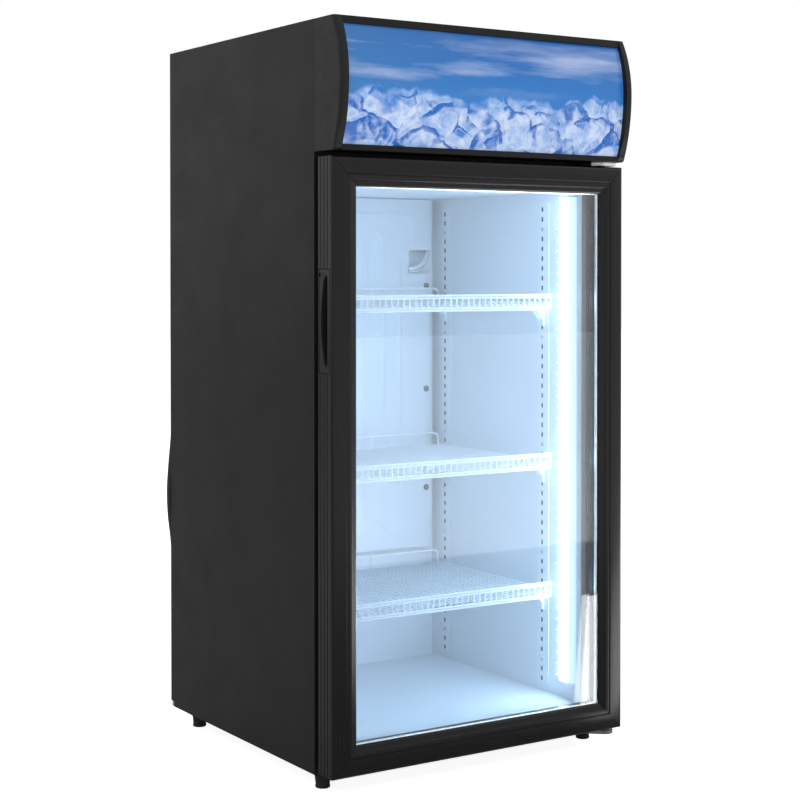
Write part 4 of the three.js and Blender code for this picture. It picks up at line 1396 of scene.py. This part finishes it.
COMPRESSOR_PLACE = (-95.0, 190.0)
COMPRESSOR_MOUNTS = [(dx, dy) for dy in (-45, 45) for dx in (-72, 72)]
FIN_COUNT = 66
TUBE_ROWS = 5
TUBE_COLUMNS = 3


def make_compressor():
    floor_z = node_box("compressor")[0].z
    x, y = COMPRESSOR_PLACE
    shell = [(40, 9), (56, 11.5), (63, 16), (67, 24), (68, 34), (68, 60), (71, 63.5), (71.5, 66.5),
             (71, 69.5), (68, 73), (67.5, 90), (65, 106), (59, 120), (50, 129), (38, 135),
             (22, 139), (6, 140)]
    shape = Shape(lathe([(r, floor_z + h) for r, h in shell], (x, y, 0), "z", 72))
    plate = rounded_outline([(-185, 130), (-5, 130), (-5, 250), (-185, 250)], 14, 6)
    shape.add(loft([[(p.x, p.y, floor_z + h) for p in plate] for h in (6.0, 9.0)]))
    for dx, dy in COMPRESSOR_MOUNTS:
        post = [(4.5, 8), (4.5, 14), (3, 15)]
        shape.add(lathe([(r, floor_z + h) for r, h in post], (x + dx, y + dy, 0), "z", 12))
    piece("compressor_shell", shape, ENAMEL, ("compressor",))
    mounts = Shape()
    for dx, dy in COMPRESSOR_MOUNTS:
        grommet = [(9, 0.2), (9.5, 2), (7.5, 3.2), (9.2, 5.8), (6.5, 6.2)]
        mounts.add(lathe([(r, floor_z + h) for r, h in grommet], (x + dx, y + dy, 0), "z", 24))
    piece("compressor_grommets", mounts, RUBBER)
    cover = rounded_outline([(y - 28, floor_z + 42), (y + 28, floor_z + 42),
                             (y + 28, floor_z + 96), (y - 28, floor_z + 96)], 7, 5)
    box = loft([[(v, p.x, p.y) for p in cover] for v in (x - 92, x - 60)])
    piece("terminal_cover", Shape(box), TERMINAL, (), 1.5)
    pipes = Shape()
    suction = rounded_path([(x + 64, y + 10, floor_z + 30), (x + 92, y + 10, floor_z + 30),
                            (x + 92, y + 10, floor_z + 110), (x + 92, y - 120, floor_z + 110),
                            (150, y - 120, floor_z + 110), (150, y - 120, floor_z + 2)], 16, 8)
    pipes.add(tube(suction, 4.0, 16))
    discharge = rounded_path([(x + 60, y + 30, floor_z + 24), (x + 100, y + 30, floor_z + 24),
                              (x + 104, y + 30, floor_z + 90), (x + 108, y + 72, floor_z + 96),
                              (18, y + 72, floor_z + 96), (30, y + 72, floor_z + 96)], 14, 8)
    pipes.add(tube(discharge, 2.6, 14))
    piece("refrigerant_pipes", pipes, COPPER)


def make_condenser():
    """Finned block with hairpin tubes through it."""
    low, high = node_box("condenser_coil")
    shape = Shape()
    for i in range(FIN_COUNT):
        x = low.x + 3 + (high.x - low.x - 6) * i / (FIN_COUNT - 1)
        shape.add(block((x - 0.15, low.y + 1, low.z + 3), (x + 0.15, high.y - 1, high.z - 3)))
    for x in (low.x + 0.5, high.x - 1.7):
        shape.add(block((x, low.y, low.z), (x + 1.2, high.y, high.z)))
    piece("condenser_fins", shape, FIN, ("condenser_coil",))
    pipes = Shape()
    ends = (low.x - 6, high.x + 6)
    pitch = (high.z - low.z - 32) / (TUBE_ROWS - 1)
    heights = [low.z + 16 + pitch * row for row in range(TUBE_ROWS)]
    for column in range(TUBE_COLUMNS):
        y = low.y + 14 * (column + 1)
        for z in heights:
            pipes.add(tube([(x, y, z) for x in ends], 3.6, 12))
        for row, (z0, z1) in enumerate(zip(heights, heights[1:])):
            right = (row + column) % 2 == 0
            end, out = (ends[1], 9) if right else (ends[0], -9)
            hairpin = [(end, y, z0), (end + out, y, z0), (end + out, y, z1), (end, y, z1)]
            pipes.add(tube(rounded_path(hairpin, 9, 6), 3.6, 12))
    piece("condenser_hairpins", pipes, COPPER)


make_compressor()
make_condenser()

# ---------------------------------------------------------------- studio

SHADE = 0.16                  # world's light on dull surfaces; the eye and mirrors see 1
SHEET_SEEN = 0.92
KEY_POWER, FILL_POWER, BACK_POWER = 40, 16, 60
BAR_GLOW_POWER, DOOR_GLOW_POWER = 0.50, 0.62


def soft_box(name, place, target, size, power, colour=(1, 1, 1)):
    data = bpy.data.lights.new(name, "AREA")
    data.shape = "RECTANGLE"
    data.size, data.size_y = size
    data.energy = power
    data.color = colour
    lamp = bpy.data.objects.new(name, data)
    lamp.location = place
    lamp.rotation_euler = (Vector(target) - Vector(place)).to_track_quat("-Z", "Y").to_euler()
    bpy.context.scene.collection.objects.link(lamp)
    return lamp


def seen_straight(shader):
    """The light path, and 1 for a ray from the eye, through clear glass too, else 0."""
    path = shader.node("LightPath")
    bounces = shader.math("ADD", path.outputs["Diffuse Depth"], path.outputs["Glossy Depth"])
    return path, shader.math("LESS_THAN", bounces, 0.5)


def stage_plane(name, outline, height, mirrored, lit):
    """A white sheet on the floor.

    It gives light SHEET_SEEN to the eye, mirrored to reflections and lit to everything else.
    """
    look = Look(name, (0.9, 0.9, 0.9), 0.75)
    look.vary_roughness(0.68, 0.82, 3.0)
    look.set("Emission Color", (1, 1, 1, 1))
    path, direct = seen_straight(look)
    soft = look.math("MULTIPLY_ADD", path.outputs["Is Glossy Ray"], mirrored - lit, lit)
    strength = look.mix(direct, soft, (SHEET_SEEN, SHEET_SEEN, SHEET_SEEN))
    look.feed("Emission Strength", strength)
    mesh = bpy.data.meshes.new(name)
    corners = [(x, y, height) for x, y in outline]
    mesh.from_pydata(corners, [], [tuple(range(len(corners)))])
    mesh.materials.append(look.material)
    plane = bpy.data.objects.new(name, mesh)
    bpy.context.scene.collection.objects.link(plane)


def make_studio():
    scene = bpy.context.scene
    scene.view_settings.view_transform = "Standard"
    world = bpy.data.worlds.new("studio")
    world.use_nodes = True
    shader = Nodes(world.node_tree)
    background = world.node_tree.nodes["Background"]
    background.inputs["Color"].default_value = (1, 1, 1, 1)
    path, direct = seen_straight(shader)
    mirrored = shader.math("MAXIMUM", path.outputs["Is Glossy Ray"], direct)
    strength = shader.node("MapRange")
    strength.inputs["To Min"].default_value = SHADE
    strength.inputs["To Max"].default_value = 1.0
    shader.link(mirrored, strength.inputs["Value"])
    shader.link(strength.outputs["Result"], background.inputs["Strength"])
    scene.world = world

    near_y, far = -1.5, 12.0
    floor = [(-far, near_y), (far, near_y), (far, far), (-far, far)]
    front = [(-far, -far), (far, -far), (far, near_y), (-far, near_y)]
    board = [(0.26, -0.33), (0.82, -1.0), (2.0, -1.0), (2.0, -0.33)]
    stage_plane("studio_floor", floor, 0.0, 0.06, 0.20)
    stage_plane("studio_front", front, 0.0, 1.0, 0.06)
    stage_plane("studio_board", board, 0.0002, 7.0, 0.06)

    middle = (0, 0, 0.45)
    soft_box("key", (-2.2, -2.6, 2.8), middle, (2.4, 2.0), KEY_POWER)
    soft_box("fill", (2.8, -1.6, 2.0), middle, (2.0, 2.0), FILL_POWER)
    soft_box("back", (0.6, 3.2, 2.8), middle, (3.0, 2.0), BACK_POWER)
    strip = node_box("led_light_bar")[0]
    glows = [
        soft_box("bar_glow", at(strip.x - 3, 12, 365), at(-120, 200, 365), (0.012, 0.62),
                 BAR_GLOW_POWER, LED_COLOUR),
        soft_box("door_glow", at(0, 1, 375), at(0, 200, 375), (0.31, 0.62),
                 DOOR_GLOW_POWER, LED_COLOUR),
    ]
    for glow in glows:
        glow.visible_camera = False
        glow.visible_transmission = False
        glow.visible_glossy = False


make_studio()
